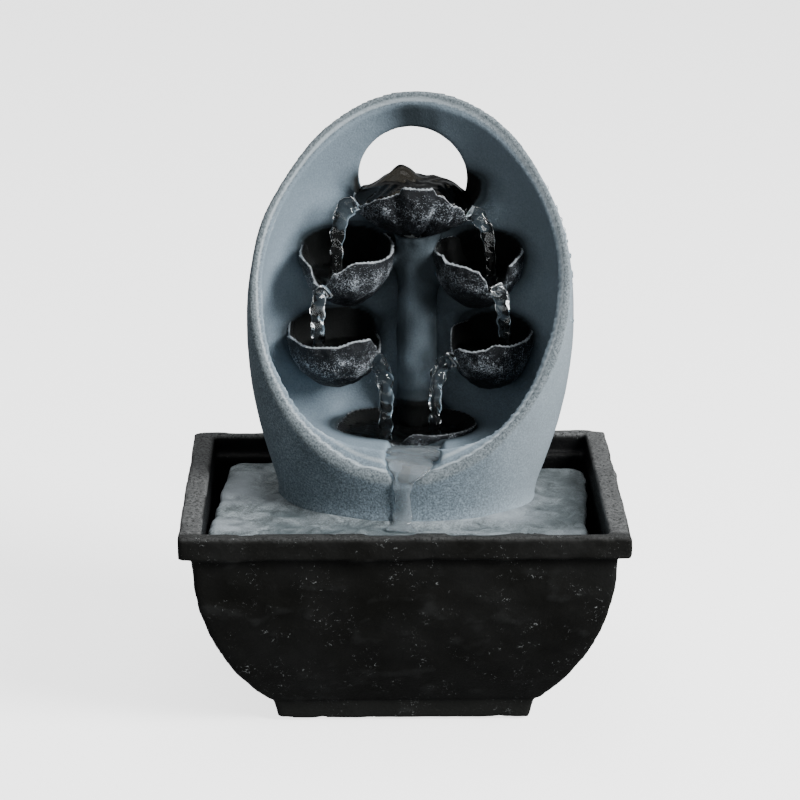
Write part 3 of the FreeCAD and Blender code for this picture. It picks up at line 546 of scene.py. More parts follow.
def spill_notch(x, y, z):
    """The notch in the pool's front wall that the water leaves by: it narrows as it goes down."""
    drop = np.maximum(SPILL_TOP - z, 0)
    left = SPILL_LEFT + SPILL_LEFT_SLOPE * drop
    right = SPILL_RIGHT - SPILL_RIGHT_SLOPE * drop
    # 0.85 and 0.6 are about the cosines of the two sides' slopes
    notch = soft_max((left - x) * 0.85, (x - right) * 0.6, SHELL_EDGE)
    return np.maximum(np.maximum(soft_max(notch, SPILL_LOW - z, SHELL_EDGE), y - 2), z - SPILL_CEILING)


def shell_field(x, y, z):
    """The oval shell, with its ring, niche, duct, window, spill notch and the seats of its bowls."""
    face = open_face(y, z)
    outside = egg(x, y, z) - FLARE * np.exp(-(z - DECK_TOP) / FLARE_REACH)
    lining = egg(x, y, z, EGG_WALL)
    niche = soft_max(lining, NICHE_TOP - z, NICHE_COVE)
    rib = np.hypot(x - HOSE_X - DUCT_SHIFT_X, y - HOSE_Y - DUCT_SHIFT_Y) - DUCT_RADIUS
    rib = soft_max(rib, z - DUCT_TOP, 1)
    wall = soft_min(-niche, rib, RIB_FILLET)
    wall = nests(wall, lining, x, y, z)
    wall = soft_max(wall, face, SHELL_EDGE)
    wall = soft_max(wall, outside, SHELL_EDGE)
    rabbet = np.maximum(egg(x, y, z, RING_LAND), -RABBET_DEEP - face)
    wall = soft_max(wall, -rabbet, 1.2)
    window_x = EGG_X - WINDOW_LEFT + EGG_LEAN * (WINDOW_Z - EGG_Z)
    window = np.hypot(x - window_x, z - WINDOW_Z) - WINDOW_RADIUS
    wall = soft_max(wall, -np.maximum(window, EGG_Y - y), SHELL_EDGE)
    wall = soft_max(wall, -spill_notch(x, y, z), SHELL_EDGE)
    seat = np.maximum(bowl_outside("pool_bowl", x, y, z) + SEAT_GAP, z - NICHE_TOP - 6)
    wall = np.maximum(wall, -np.maximum(seat, -rib))
    bore = np.hypot(x - HOSE_X, y - HOSE_Y) - HOSE_BORE
    wall = np.maximum(wall, -np.maximum(bore, z - DUCT_TOP - 2))
    wall = np.maximum(wall, -np.maximum(lining, z - NICHE_LOW))

    def stone(points):
        return 0.3 * noise(points, 17, 40) + 0.06 * rough(points, 3.2, 41, 2)

    wall = detail(wall, x, y, z, stone, 3.0)
    return np.maximum(wall, DECK_TOP - z)


def shell_paint():
    """The ring's rough land, its bright lines, the lining, the painted shade and wetness round the bowls and
    the rib, the painted shade in the recesses behind the bowls, and the painted light on the right side.
    """

    def face(points):
        return at(lambda x, y, z: open_face(y, z), points)

    def inset(points):
        return -at(egg, points)

    def land(points):
        outer = 1 - step_up(inset(points), RING_LAND - 0.3, RING_LAND + 0.5)
        return step_up(face(points), -1.0, -0.5) * outer

    def line(points):
        edge = np.exp(-((inset(points) - RING_LAND + 0.1) ** 2) / 0.35)
        lip = np.exp(-((inset(points) - EGG_WALL - 0.1) ** 2) / 0.4)
        return (edge + 0.8 * lip) * step_up(face(points), -2.6, -1.6)

    def inner(points):
        return step_up(inset(points), EGG_WALL - 2.2, EGG_WALL - 0.8)

    # painted shade and wetness: the lining darkens round each bowl's mouth and beside the rib over the hose
    # duct
    def painted_shade_and_wet(points):
        total = 0
        for name in BOWLS:
            reach = 4.5 if name != "pool_bowl" else 2.5
            gap = at(lambda x, y, z: bowl_mouth(name, x, y, z), points)
            total = total + np.exp(-np.maximum(gap, 0) / reach)
        off_rib = np.hypot(points[:, 0] - HOSE_X, points[:, 1] - HOSE_Y) - DUCT_RADIUS
        total = total + 0.6 * np.exp(-np.maximum(off_rib, 0) / 9)
        return np.clip(total * (1 + 0.4 * noise(points, 9, 50)), 0, 1) * inner(points)

    # painted light: the outside of the shell is lightened towards its right side, which faces the key light
    def pale(points):
        return 0.6 * step_up(points[:, 0], 20, 68)

    # painted shade: the recesses cut behind the bowls are painted as dark as the bowls' insides
    def hollow(points):
        near = [at(lambda x, y, z: bowl_mouth(name, x, y, z), points) for name in BOWLS]
        return (1 - step_up(np.min(near, axis=0), -1.2, 0.2)) * inner(points)

    return {"land": land, "line": line, "inner": inner, "painted_shade_and_wet": painted_shade_and_wet, "hollow": hollow, "pale": pale}


LEG_X = 49.4
LEG_Y = 30.0
LEG_RADIUS = 6.0
DECK_CORNER = 8


def deck_relief(points):
    """The deck's top: shallow hollows, with rolled waves towards the front."""
    flat = points * np.array([1, 1, 0], dtype=np.float32)
    front = step_up(-points[:, 1], 18, 50)
    hills = rough(flat, (26, 17, 9), 60, 3, 0.55)
    waves = rough(flat, (20, 7, 9), 64, 3, 0.6)
    return 0.75 * hills + front * 0.8 * waves


def deck_field(x, y, z):
    """An uneven plate on four legs, with a low collar round the shell's foot and a hole inside it."""
    centre_y = (DECK_FRONT + DECK_BACK) / 2
    centre_z = (DECK_LOW + DECK_TOP) / 2
    reach_x = np.abs(x) - DECK_HALF_WIDE + DECK_CORNER
    reach_y = np.abs(y - centre_y) - (DECK_BACK - DECK_FRONT) / 2 + DECK_CORNER
    corner = np.hypot(np.maximum(reach_x, 0), np.maximum(reach_y, 0))
    edge = corner + np.minimum(np.maximum(reach_x, reach_y), 0) - DECK_CORNER
    thick = np.abs(z - centre_z) - (DECK_TOP - DECK_LOW) / 2

    def wander(points):
        flat = points * np.array([1, 1, 0.3], dtype=np.float32)
        return 1.1 * rough(flat, 19, 70, 4, 0.5)

    edge = detail(edge + 0 * z, x, y, z, wander, 6.0)

    def relief(points):
        return -deck_relief(points) * (points[:, 2] > centre_z)

    thick = detail(thick + 0 * x + 0 * y, x, y, z, relief, 4.0)
    plate = soft_max(edge, thick, 2.6)
    legs = np.hypot(np.abs(x) - LEG_X, np.abs(y) - LEG_Y) - LEG_RADIUS
    legs = np.maximum(legs, z - DECK_LOW - 1)
    legs = soft_max(legs, FLOOR_TOP - z, 1.0)
    plate = soft_min(plate, legs, 2.0)
    swing = DECK_TURN - EGG_TURN
    shell_x = x * math.cos(swing) + y * math.sin(swing)
    shell_y = y * math.cos(swing) - x * math.sin(swing)
    opening = egg(shell_x, shell_y, z, EGG_WALL)
    foot = soft_max(egg(shell_x, shell_y, z) - FLARE, np.abs(z - DECK_TOP) - 0.4, 3.0)
    plate = soft_min(plate, foot, 5.0)
    return np.maximum(plate, -opening)


def deck_paint():
    """The relief's height, the glossy front, the upper side, and the painted shade on the right."""

    def height(points):
        return np.clip(0.5 + 0.4 * deck_relief(points), 0, 1)

    def front(points):
        return step_up(-points[:, 1], 22, 48)

    def upper(points):
        return step_up(points[:, 2], DECK_LOW + 1.5, DECK_TOP - 0.8)

    # painted shade: the deck darkens towards its right, behind the shell, less so at the glossy front
    def shade(points):
        return 0.5 * step_up(points[:, 0], 25, 75) * (1 - 0.7 * front(points))

    return {"height": height, "front": front, "upper": upper, "shade": shade}


def basin_paint():
    """The dusty top of the rim, the chips, the foot, and the wet inside."""

    def top(points):
        front = step_up(-points[:, 1], OPEN_HALF_DEEP - 1.5, OPEN_HALF_DEEP + 0.5)
        return step_up(points[:, 2], RIM_TOP - 1.3, RIM_TOP - 0.5) * (1 - 0.7 * front)

    def chip(points):
        return np.clip(slate_flakes(points) * -0.5 + 0.5, 0, 1)

    def foot(points):
        return 1 - step_up(points[:, 2], BODY_LOW - 0.6, BODY_LOW + 0.6)

    def wet(points):
        away_x = np.abs(points[:, 0]) - OPEN_HALF_WIDE
        away_y = np.abs(points[:, 1]) - OPEN_HALF_DEEP
        lining = at(lambda x, y, z: body_sides(x, y, z, BASIN_WALL), points)
        inside = np.where(points[:, 2] > OPENING_LOW, np.maximum(away_x, away_y), lining)
        return (1 - step_up(inside, 0.0, 1.2)) * (1 - step_up(points[:, 2], RIM_TOP - 3, RIM_TOP - 1))

    return {"top": top, "chip": chip, "foot": foot, "wet": wet}


# ------------------------------------------------------------------ water
# Water reaches this far into the stone round it, so that no gap shows.
OVERLAP = 0.4
# The swell of rising water in the top bowl: its middle, height and width.
SWELL_X = -3.7
SWELL_Y = 39.8
SWELL_HIGH = 6.5
SWELL_WIDE = 6.0


def bowl_water(name):
    """The water standing in a bowl: level in the middle, and drawn down to the rim where it spills."""
    centre, radii, level, _ = BOWLS[name]
    swell = (SWELL_X, SWELL_Y, SWELL_HIGH) if name == "top_bowl" else (centre[0], centre[1], 0.0)

    def field(x, y, z):
        reach = np.hypot((x - centre[0]) / radii[0], (y - centre[1]) / radii[1])
        lip = bowl_lip(name, x, y)
        middle = centre[2] + level
        edge = np.minimum(lip + 0.9, middle)
        surface = middle + (edge - middle) * step_up(reach, 0.45, 0.95)
        away = np.hypot(x - swell[0], y - swell[1])
        surface = surface + swell[2] * np.exp(-((away / SWELL_WIDE) ** 2))
        ripple = 0.5 * np.sin(x * 0.55 + 1.3 * np.sin(y * 0.4)) * np.cos(y * 0.5 + np.sin(x * 0.37))
        surface = surface + ripple
        inside = bowl_outside(name, x, y, z) + bowl_wall(name, z) - OVERLAP
        water = soft_max(inside, z - surface, 0.8)
        return np.maximum(water, egg(x, y, z, EGG_WALL - OVERLAP))

    return field


def basin_water(x, y, z):
    """The water in the basin, with low ripples."""
    ripple = 0.35 * np.sin(x * 0.11 + np.sin(y * 0.09)) * np.cos(y * 0.13)
    inside = np.maximum(body_sides(x, y, z, BASIN_WALL - OVERLAP), FLOOR_TOP - OVERLAP - z)
    return soft_max(inside, z - WATER_LEVEL - ripple, 1.0)


def smooth_path(points, steps):
    """Points on a Catmull-Rom curve through the given ones; each point may carry more values."""
    points = np.array(points, dtype=float)
    ends = np.vstack([2 * points[0] - points[1], points, 2 * points[-1] - points[-2]])
    result = []
    for index in range(len(points) - 1):
        a, b, c, d = ends[index:index + 4]
        for step in range(steps):
            t = step / steps
            bend = (2 * a - 5 * b + 4 * c - d) * t**2
            twist = (3 * b - a - 3 * c + d) * t**3
            result.append(0.5 * (2 * b + (c - a) * t + bend + twist))
    result.append(points[-1])
    return np.array(result)


def stream(name, route, seed, ridges=3, steps=14, around=28):
    """A falling stream: a closed tube along points given as (x, y, z, half width, half depth)."""
    rows = smooth_path(route, steps)
    chance = np.random.default_rng(seed)
    phase = chance.uniform(0, 2 * math.pi, 6)
    places = rows[:, :3]
    along = np.gradient(places, axis=0)
    along /= np.linalg.norm(along, axis=1)[:, None]
    # a stream runs outward, down or back in, but never along this vector, so its side is always defined
    side = np.cross(along, np.array([0.05, -1.0, 1.0]))
    side /= np.linalg.norm(side, axis=1)[:, None]
    out = np.cross(side, along)
    vertices = []
    length = np.concatenate([[0], np.cumsum(np.linalg.norm(np.diff(places, axis=0), axis=1))])
    for index, row in enumerate(rows):
        for step in range(around):
            turn = 2 * math.pi * step / around
            down = length[index]
            swell = 1 + 0.13 * math.sin(ridges * turn + phase[0] + 0.09 * down)
            swell += 0.10 * math.sin(2 * turn + phase[1] + 0.55 * down)
            swell += 0.10 * math.sin(0.9 * down + phase[2] + 1.4 * math.sin(turn + phase[3]))
            sideways = side[index] * (math.cos(turn) * row[3] * swell)
            outward = out[index] * (math.sin(turn) * row[4] * swell)
            vertices.append(places[index] + (sideways + outward))
    faces = []
    last = len(rows) - 1
    for index in range(last):
        for step in range(around):
            after = (step + 1) % around
            a = index * around + step
            b = index * around + after
            faces.append([a, a + around, b + around, b])
    faces.append(list(range(around)))
    faces.append([last * around + step for step in range(around)][::-1])
    return make_object(name, np.array(vertices), faces, EGG_TURN)


DROP_RINGS = 6
DROP_SPOKES = 10


def droplets(name, count, seed):
    """Splashed drops that cling to the shell's right side, each a flattened and slightly uneven bead."""
    chance = np.random.default_rng(seed)
    vertices = []
    faces = []
    for _ in range(count):
        z = EGG_Z + chance.uniform(-4, 64)
        y = EGG_Y - CUT_FRONT + (z - EGG_Z) * math.tan(CUT_LEAN) + chance.uniform(1.5, 11)
        rise = 1 - ((z - EGG_Z) / EGG_RISE) ** 2 - ((y - EGG_Y) / EGG_HALF_DEEP) ** 2
        wide = EGG_HALF_WIDE * (1 - EGG_NARROW * math.exp(-(((z - NARROW_Z) / NARROW_REACH) ** 2)))
        x = EGG_X + EGG_LEAN * (z - EGG_Z) + wide * math.sqrt(rise)
        size = chance.uniform(0.6, 1.25)
        start = len(vertices)
        for ring in range(DROP_RINGS + 1):
            polar = math.pi * ring / DROP_RINGS
            for spoke in range(DROP_SPOKES):
                turn = 2 * math.pi * spoke / DROP_SPOKES
                flat = 0.7 * math.cos(polar)
                bead = np.array([flat, math.sin(polar) * math.cos(turn), math.sin(polar) * math.sin(turn)])
                bead *= size * (1 + 0.1 * math.sin(3 * turn + z))
                bead[2] *= 1.2
                vertices.append(np.array([x - 0.1, y, z]) + bead)
        for ring in range(DROP_RINGS):
            for spoke in range(DROP_SPOKES):
                a = start + ring * DROP_SPOKES + spoke
                b = start + ring * DROP_SPOKES + (spoke + 1) % DROP_SPOKES
                faces.append([a, b, b + DROP_SPOKES, a + DROP_SPOKES])
    piece = make_object(name, np.array(vertices), faces, EGG_TURN)
    # each bead's end rings are single points, which are merged here
    shape = bmesh.new()
    shape.from_mesh(piece.data)
    bmesh.ops.remove_doubles(shape, verts=shape.verts, dist=0.02 * MM)
    bmesh.ops.recalc_face_normals(shape, faces=shape.faces)
    shape.to_mesh(piece.data)
    shape.free()
    return piece


# Streams in the shell's own frame: x, y, z, half width, half depth.
STREAMS = {
    "stream_top_left": [
        (-24, 27.5, 228, 4.5, 1.6), (-28, 25, 226, 4.2, 1.8), (-31.5, 22.5, 218, 3.4, 2.0),
        (-32.5, 21.5, 208, 2.8, 1.9), (-32.8, 21, 193.5, 2.6, 1.8),
    ],
    "stream_top_right": [
        (28, 31, 224.5, 3.8, 1.4), (33, 30, 221.5, 3.6, 1.5), (36.5, 30, 214, 2.8, 1.5),
        (37.5, 30, 205, 2.4, 1.4), (38, 30, 194, 2.2, 1.3),
    ],
    "stream_upper_left": [
        (-36, 7.5, 191.5, 3.6, 1.8), (-38.3, 3.2, 190.5, 3.3, 2.2), (-39.2, 1.2, 184, 3.2, 2.2),
        (-39.4, 3.4, 176, 2.9, 2.0), (-39.4, 9.5, 163, 2.8, 1.9), (-39.4, 12.5, 155, 2.7, 1.8),
    ],
    "stream_upper_right": [
        (41, 15, 192.5, 3.6, 1.6), (43.6, 11, 191, 3.4, 2.0), (45, 10, 185, 3.0, 2.1),
        (45.6, 13, 176, 2.8, 1.9), (45.8, 18.5, 163, 2.6, 1.8), (45.8, 20.5, 155, 2.5, 1.8),
    ],
    "stream_lower_left": [
        (-18, 23, 155.6, 4.6, 1.6), (-12.6, 17, 154.5, 4.2, 2.4), (-9.6, 12, 149.5, 3.7, 2.4),
        (-8.7, 9.5, 141, 3.2, 2.2), (-8.9, 9.2, 131, 3.0, 2.1), (-9, 9.2, 119.5, 3.1, 2.2),
    ],
    "stream_lower_right": [
        (21, 24, 155.5, 4.2, 1.6), (17, 17, 154.5, 3.8, 2.2), (14.8, 13, 149.5, 3.3, 2.2),
        (14.0, 11.8, 141, 2.8, 2.0), (14.1, 11.6, 131, 2.6, 1.9), (14.3, 11.6, 119.5, 2.7, 2.0),
    ],
    "spill_film": [
        (5.5, 4, 118.5, 9.0, 0.8), (6.0, -5, 121.0, 11.0, 0.9), (6.2, -14, 121.0, 12.0, 0.9),
        (5.6, -22, 119.4, 10.5, 0.9), (4.2, -27.6, 116.0, 7.2, 0.9), (3.0, -29.6, 111.5, 3.8, 0.9),
        (2.9, -29.2, 106, 3.4, 0.8), (2.8, -28.2, 101, 3.4, 0.8), (2.6, -28.2, 96.5, 3.8, 0.8),
        (2.4, -30.8, 93.0, 5.0, 0.7), (2.2, -36, 91.8, 6.5, 0.6),
    ],
}


# ------------------------------------------------------------------ materials
class Look:
    """A material, and the short calls that build its nodes. Sizes and depths are in millimetres."""

    def __init__(self, name):
        self.material = bpy.data.materials.new(name)
        self.material.use_nodes = True
        self.nodes = self.material.node_tree.nodes
        self.links = self.material.node_tree.links
        self.inputs = self.nodes["Principled BSDF"].inputs
        self.place = self.nodes.new("ShaderNodeTexCoord").outputs["Object"]

    def wire(self, socket, value):
        """Links a node's output to a socket, or writes a number or a colour in it."""
        if isinstance(value, bpy.types.NodeSocket):
            self.links.new(value, socket)
        elif isinstance(value, (int, float)):
            socket.default_value = value
        else:
            socket.default_value = (*value, 1)

    def give(self, word, value):
        """Wires one of the shader's own inputs."""
        self.wire(self.inputs[word], value)

    def noise(self, size, depth=3, roughness=0.6, warp=0.0):
        """Noise whose bumps are about one size across."""
        texture = self.nodes.new("ShaderNodeTexNoise")
        texture.inputs["Scale"].default_value = 1 / (size * MM)
        texture.inputs["Detail"].default_value = depth
        texture.inputs["Roughness"].default_value = roughness
        texture.inputs["Distortion"].default_value = warp
        self.links.new(self.place, texture.inputs["Vector"])
        return texture.outputs["Fac"]

    def ramp(self, value, stops):
        """A colour ramp: stops are (place, colour or grey)."""
        node = self.nodes.new("ShaderNodeValToRGB")
        band = node.color_ramp
        while len(band.elements) < len(stops):
            band.elements.new(0.5)
        for element, (place, colour) in zip(band.elements, stops):
            element.position = place
            colour = (colour,) * 3 if isinstance(colour, (int, float)) else colour
            element.color = (*colour, 1)
        self.links.new(value, node.inputs["Fac"])
        return node.outputs["Color"]

    def blend(self, amount, first, second, mode="MIX"):
        """The first colour, with an amount of the second over it."""
        node = self.nodes.new("ShaderNodeMix")
        node.data_type = "RGBA"
        node.blend_type = mode
        for index, value in ((0, amount), (6, first), (7, second)):
            self.wire(node.inputs[index], value)
        return node.outputs[2]

    def math(self, operation, first, second):
        node = self.nodes.new("ShaderNodeMath")
        node.operation = operation
        self.wire(node.inputs[0], first)
        self.wire(node.inputs[1], second)
        return node.outputs[0]

    def painted(self, word):
        """A value that make_object painted on the mesh."""
        node = self.nodes.new("ShaderNodeAttribute")
        node.attribute_name = word
        return node.outputs["Fac"]

    def bump(self, height, depth, strength=1.0):
        """Bump whose full height is one depth."""
        node = self.nodes.new("ShaderNodeBump")
        node.inputs["Strength"].default_value = strength
        node.inputs["Distance"].default_value = depth * MM
        self.links.new(height, node.inputs["Height"])
        return node.outputs["Normal"]


# The bowls' wet, dark insides, and the painted shade in the recesses behind them.
DARK_INSIDE_AND_RECESS_SHADE = (0.005, 0.006, 0.006)
WATER_IOR = 1.33


def shell_material():
    look = Look("painted_stone")
    broad = look.noise(26, 3)
    grain = look.noise(0.9, 2, 0.7)
    tone = look.ramp(broad, [(0.3, (0.135, 0.175, 0.205)), (0.7, (0.20, 0.25, 0.29))])
    speck = look.ramp(grain, [(0.3, 0.55), (0.5, 1.0), (0.72, 1.75)])
    outer = look.blend(1.0, tone, speck, "MULTIPLY")
    # painted light on the shell's right side
    outer = look.blend(look.painted("pale"), outer, (0.34, 0.40, 0.44))
    calm = look.ramp(grain, [(0.3, 0.85), (0.7, 1.15)])
    smooth = look.blend(1.0, (0.235, 0.30, 0.355), calm, "MULTIPLY")
    colour = look.blend(look.painted("inner"), outer, smooth)
    frost = look.ramp(grain, [(0.32, (0.085, 0.108, 0.12)), (0.68, (0.29, 0.335, 0.36))])
    colour = look.blend(look.painted("land"), colour, frost)
    # painted shade and wetness round the bowls and the rib
    shade = look.ramp(look.painted("painted_shade_and_wet"), [(0.12, 0.0), (0.75, 0.85)])
    colour = look.blend(shade, colour, (0.018, 0.026, 0.03))
    # painted shade in the recesses behind the bowls
    colour = look.blend(look.painted("hollow"), colour, DARK_INSIDE_AND_RECESS_SHADE)
    edge = look.ramp(look.painted("line"), [(0.25, 0.0), (0.8, 0.8)])
    colour = look.blend(edge, colour, (0.50, 0.57, 0.61))
    look.give("Base Color", colour)
    look.give("Roughness", look.ramp(grain, [(0.3, 0.62), (0.7, 0.8)]))
    look.give("Specular IOR Level", 0.2)
    look.give("Normal", look.bump(grain, 0.22, 0.8))
    return look.material


def deck_material():
    look = Look("wet_deck")
    broad = look.noise(9, 5, 0.68, 0.9)
    grain = look.noise(0.8, 3, 0.75)
    tone = look.ramp(broad, [
        (0.36, (0.075, 0.092, 0.097)), (0.5, (0.18, 0.21, 0.222)), (0.64, (0.30, 0.345, 0.365)),
    ])
    speck = look.ramp(grain, [(0.32, 0.45), (0.68, 1.5)])
    colour = look.blend(1.0, tone, speck, "MULTIPLY")
    high = look.ramp(look.painted("height"), [(0.45, 0.0), (0.95, 0.75)])
    colour = look.blend(high, colour, (0.50, 0.56, 0.61))
    low = look.ramp(look.painted("height"), [(0.05, 0.8), (0.4, 0.0)])
    colour = look.blend(low, colour, (0.07, 0.095, 0.105))
    # painted shade on the deck's right
    colour = look.blend(look.painted("shade"), colour, (0.06, 0.075, 0.08))
    under = look.math("SUBTRACT", 1.0, look.painted("upper"))
    colour = look.blend(under, colour, (0.03, 0.033, 0.034))
    look.give("Base Color", colour)
    look.give("Roughness", look.ramp(look.painted("front"), [(0.0, 0.55), (1.0, 0.22)]))
    height = look.math("ADD", broad, look.math("MULTIPLY", grain, 0.7))
    look.give("Normal", look.bump(height, 0.6, 0.8))
    return look.material


def basin_material():
    look = Look("black_slate")
    broad = look.noise(30, 4, 0.6)
    grain = look.noise(1.4, 4, 0.7)
    scratch = look.noise(2.0, 4, 0.8, 1.2)
    colour = look.ramp(broad, [(0.35, (0.0052, 0.0052, 0.0042)), (0.7, (0.014, 0.0142, 0.0135))])
    dust = look.ramp(grain, [
        (0.3, (0.035, 0.036, 0.035)), (0.5, (0.115, 0.118, 0.118)), (0.75, (0.21, 0.215, 0.215)),
    ])
    pits = look.ramp(look.noise(1.0, 2, 0.5), [(0.34, 0.12), (0.44, 1.0)])
    dust = look.blend(1.0, dust, pits, "MULTIPLY")
    colour = look.blend(look.painted("top"), colour, dust)
    chips = look.ramp(scratch, [(0.62, 0.0), (0.67, 1.0)])
    patches = look.ramp(look.noise(12, 2), [(0.49, 0.0), (0.62, 0.9)])
    chips = look.math("MULTIPLY", chips, patches)
    colour = look.blend(look.painted("foot"), colour, (0.019, 0.0195, 0.018))
    colour = look.blend(chips, colour, (0.42, 0.44, 0.44))
    lift = look.ramp(look.painted("chip"), [(0.72, 0.0), (1.0, 0.12)])
    colour = look.blend(lift, colour, (0.09, 0.095, 0.095))
    colour = look.blend(look.painted("wet"), colour, (0.004, 0.0042, 0.0045))
    look.give("Base Color", colour)
    look.give("Roughness", look.ramp(grain, [(0.3, 0.42), (0.7, 0.62)]))
    look.give("Specular IOR Level", 0.16)
    height = look.math("ADD", grain, scratch)
    look.give("Normal", look.bump(height, 0.35, 0.7))
    return look.material


def bowl_material():
    look = Look("brushed_stone")
    grain = look.noise(0.62, 3, 0.8)
    clumps = look.noise(8, 2)
    level = look.math("ADD", grain, look.math("MULTIPLY", clumps, 0.25))
    level = look.math("ADD", level, look.math("MULTIPLY", look.painted("rise"), 0.06))
    level = look.math("ADD", level, look.math("MULTIPLY", look.painted("dust"), 0.15))
    silver = look.ramp(look.math("SUBTRACT", level, 0.25), [(0.60, 0.0), (0.64, 1.0)])
    outer = look.blend(silver, (0.008, 0.010, 0.013), (0.55, 0.61, 0.67))
    edge = look.ramp(look.math("MULTIPLY", look.painted("edge"), grain), [(0.2, 0.0), (0.42, 0.9)])
    colour = look.blend(edge, outer, (0.55, 0.60, 0.64))
    colour = look.blend(look.painted("cavity"), colour, DARK_INSIDE_AND_RECESS_SHADE)
    look.give("Base Color", colour)
    look.give("Roughness", look.ramp(grain, [(0.3, 0.36), (0.7, 0.55)]))
    look.give("Specular IOR Level", 0.3)
    look.give("Normal", look.bump(grain, 0.8, 0.9))
    return look.material


def water_material(name, colour, clear=1.0):
    look = Look(name)
    look.give("Base Color", colour)
    look.give("Transmission Weight", clear)
    look.give("IOR", WATER_IOR)
    look.give("Roughness", 0.02)
    look.give("Normal", look.bump(look.noise(4.0, 2), 0.5, 0.5))
    return look.material


def plain_material(name, dark, light, size, depth, rough_low, rough_high, metallic):
    """A moulded, cast or wound finish: two tones of grain, with bump."""
    look = Look(name)
    grain = look.noise(size, 4, 0.6)
    look.give("Base Color", look.ramp(grain, [(0.3, dark), (0.7, light)]))
    look.give("Roughness", look.ramp(grain, [(0.3, rough_low), (0.7, rough_high)]))
    look.give("Normal", look.bump(grain, depth, 0.7))
    look.give("Metallic", metallic)
    return look.material


# Each plain finish: its dark and light tones, the size of its grain, the depth of its bump, its lowest and
# highest roughness, and whether it is metal.
PLAIN = {
    "pad_foam": ((0.012, 0.012, 0.012), (0.035, 0.035, 0.035), 0.8, 0.2, 0.85, 0.95, 0),
    "hose_vinyl": ((0.55, 0.60, 0.60), (0.70, 0.74, 0.73), 6, 0.05, 0.2, 0.3, 0),
    "pump_plastic": ((0.010, 0.011, 0.013), (0.026, 0.027, 0.03), 0.6, 0.06, 0.35, 0.5, 0),
    "core_steel": ((0.28, 0.28, 0.29), (0.48, 0.48, 0.49), 0.5, 0.05, 0.3, 0.45, 1),
    "coil_wire": ((0.45, 0.16, 0.05), (0.80, 0.36, 0.15), 0.5, 0.1, 0.25, 0.4, 1),
    "rubber_black": ((0.010, 0.010, 0.010), (0.025, 0.025, 0.025), 1.2, 0.05, 0.5, 0.65, 0),
    "shaft_ceramic": ((0.76, 0.75, 0.71), (0.88, 0.87, 0.84), 1.0, 0.02, 0.12, 0.2, 0),
    "magnet_ferrite": ((0.045, 0.045, 0.05), (0.09, 0.09, 0.1), 0.7, 0.05, 0.45, 0.6, 0),
    "impeller_plastic": ((0.60, 0.62, 0.60), (0.74, 0.75, 0.73), 1.4, 0.03, 0.3, 0.42, 0),
    "foam_black": ((0.004, 0.004, 0.004), (0.05, 0.05, 0.05), 1.1, 0.8, 0.9, 1.0, 0),
}


def paint_piece(piece, material):
    piece.data.materials.clear()
    piece.data.materials.append(material)


def paint_node(node, material):
    """A CAD node keeps its mesh; the material goes on its object's own slots."""
    for place in node.material_slots:
        place.link = "OBJECT"
        place.material = material


# ------------------------------------------------------------------ camera, lights and stage
CAMERA_LENS = 125.1
CAMERA_SENSOR = 36
CAMERA_PLACE = Vector((-20.4, -1208.0, 546.6)) * MM
CAMERA_TARGET = Vector((-1.18, 0.0, 142.4)) * MM
FLOOR_HALF = 6.0
FLOOR_GLOW = 2.2
WORLD_GLOW = 0.25


def aim(thing, place, target):
    thing.location = place
    thing.rotation_euler = (target - thing.location).to_track_quat("-Z", "Y").to_euler()


def add_camera():
    data = bpy.data.cameras.new("camera")
    data.lens = CAMERA_LENS
    data.sensor_width = CAMERA_SENSOR
    camera = bpy.data.objects.new("camera", data)
    aim(camera, CAMERA_PLACE, CAMERA_TARGET)
    bpy.context.scene.collection.objects.link(camera)
    bpy.context.scene.camera = camera


def add_light(name, place, target, size, power):
    """A white rectangular light; its places and sizes are in metres, and its power in watts."""
    data = bpy.data.lights.new(name, "AREA")
    data.shape = "RECTANGLE"
    data.size, data.size_y = size
    data.energy = power
    light = bpy.data.objects.new(name, data)
    aim(light, Vector(place), Vector(target))
    bpy.context.scene.collection.objects.link(light)


def add_stage():
    """A plain pale floor, wide enough for every view."""
    corners = [(FLOOR_HALF * x, FLOOR_HALF * y, 0) for x, y in ((-1, -1), (1, -1), (1, 1), (-1, 1))]
    mesh = bpy.data.meshes.new("floor")
    mesh.from_pydata(corners, [], [(0, 1, 2, 3)])
    floor = bpy.data.objects.new("floor", mesh)
    bpy.context.scene.collection.objects.link(floor)
    look = Look("pale_floor")
    look.give("Base Color", (0.92, 0.92, 0.92))
    look.give("Roughness", 0.9)
    look.give("Emission Color", (1, 1, 1))
    look.give("Emission Strength", FLOOR_GLOW)
    paint_piece(floor, look.material)
    # the floor shows, and takes shadows, but throws no light back up at the black basin
    floor.visible_diffuse = False
    floor.visible_glossy = False


def add_world():
    world = bpy.data.worlds.new("studio")
    bpy.context.scene.world = world
    world.use_nodes = True
    shade = world.node_tree.nodes["Background"]
    shade.inputs["Color"].default_value = (0.95, 0.98, 1.0, 1)
    shade.inputs["Strength"].default_value = WORLD_GLOW


# ------------------------------------------------------------------ making
# Each grid reaches this far past its piece, and its step is the size of the piece's faces.
MARGIN = 4.0
BASIN_STEP = 1.4
DECK_STEP = 0.95
SHELL_STEP = 1.2
BOWL_STEP = 0.6
BOWL_WATER_STEP = 0.7
BASIN_WATER_STEP = 2.0
BOWL_MARGIN = 3
BOWL_HEADROOM = 9
STREAM_SEED = 90
DROP_SEED = 120
DROP_COUNT = 26

add_camera()

basin = carve(
    "basin_skin", basin_field,
    (-RIM_HALF_WIDE - MARGIN, -RIM_HALF_DEEP - MARGIN, FOOT_LOW - MARGIN),
    (RIM_HALF_WIDE + MARGIN, RIM_HALF_DEEP + MARGIN, RIM_TOP + MARGIN),
    BASIN_STEP, 0.0, basin_paint(),
)
paint_piece(basin, basin_material())
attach(basin, "basin")
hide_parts("basin")

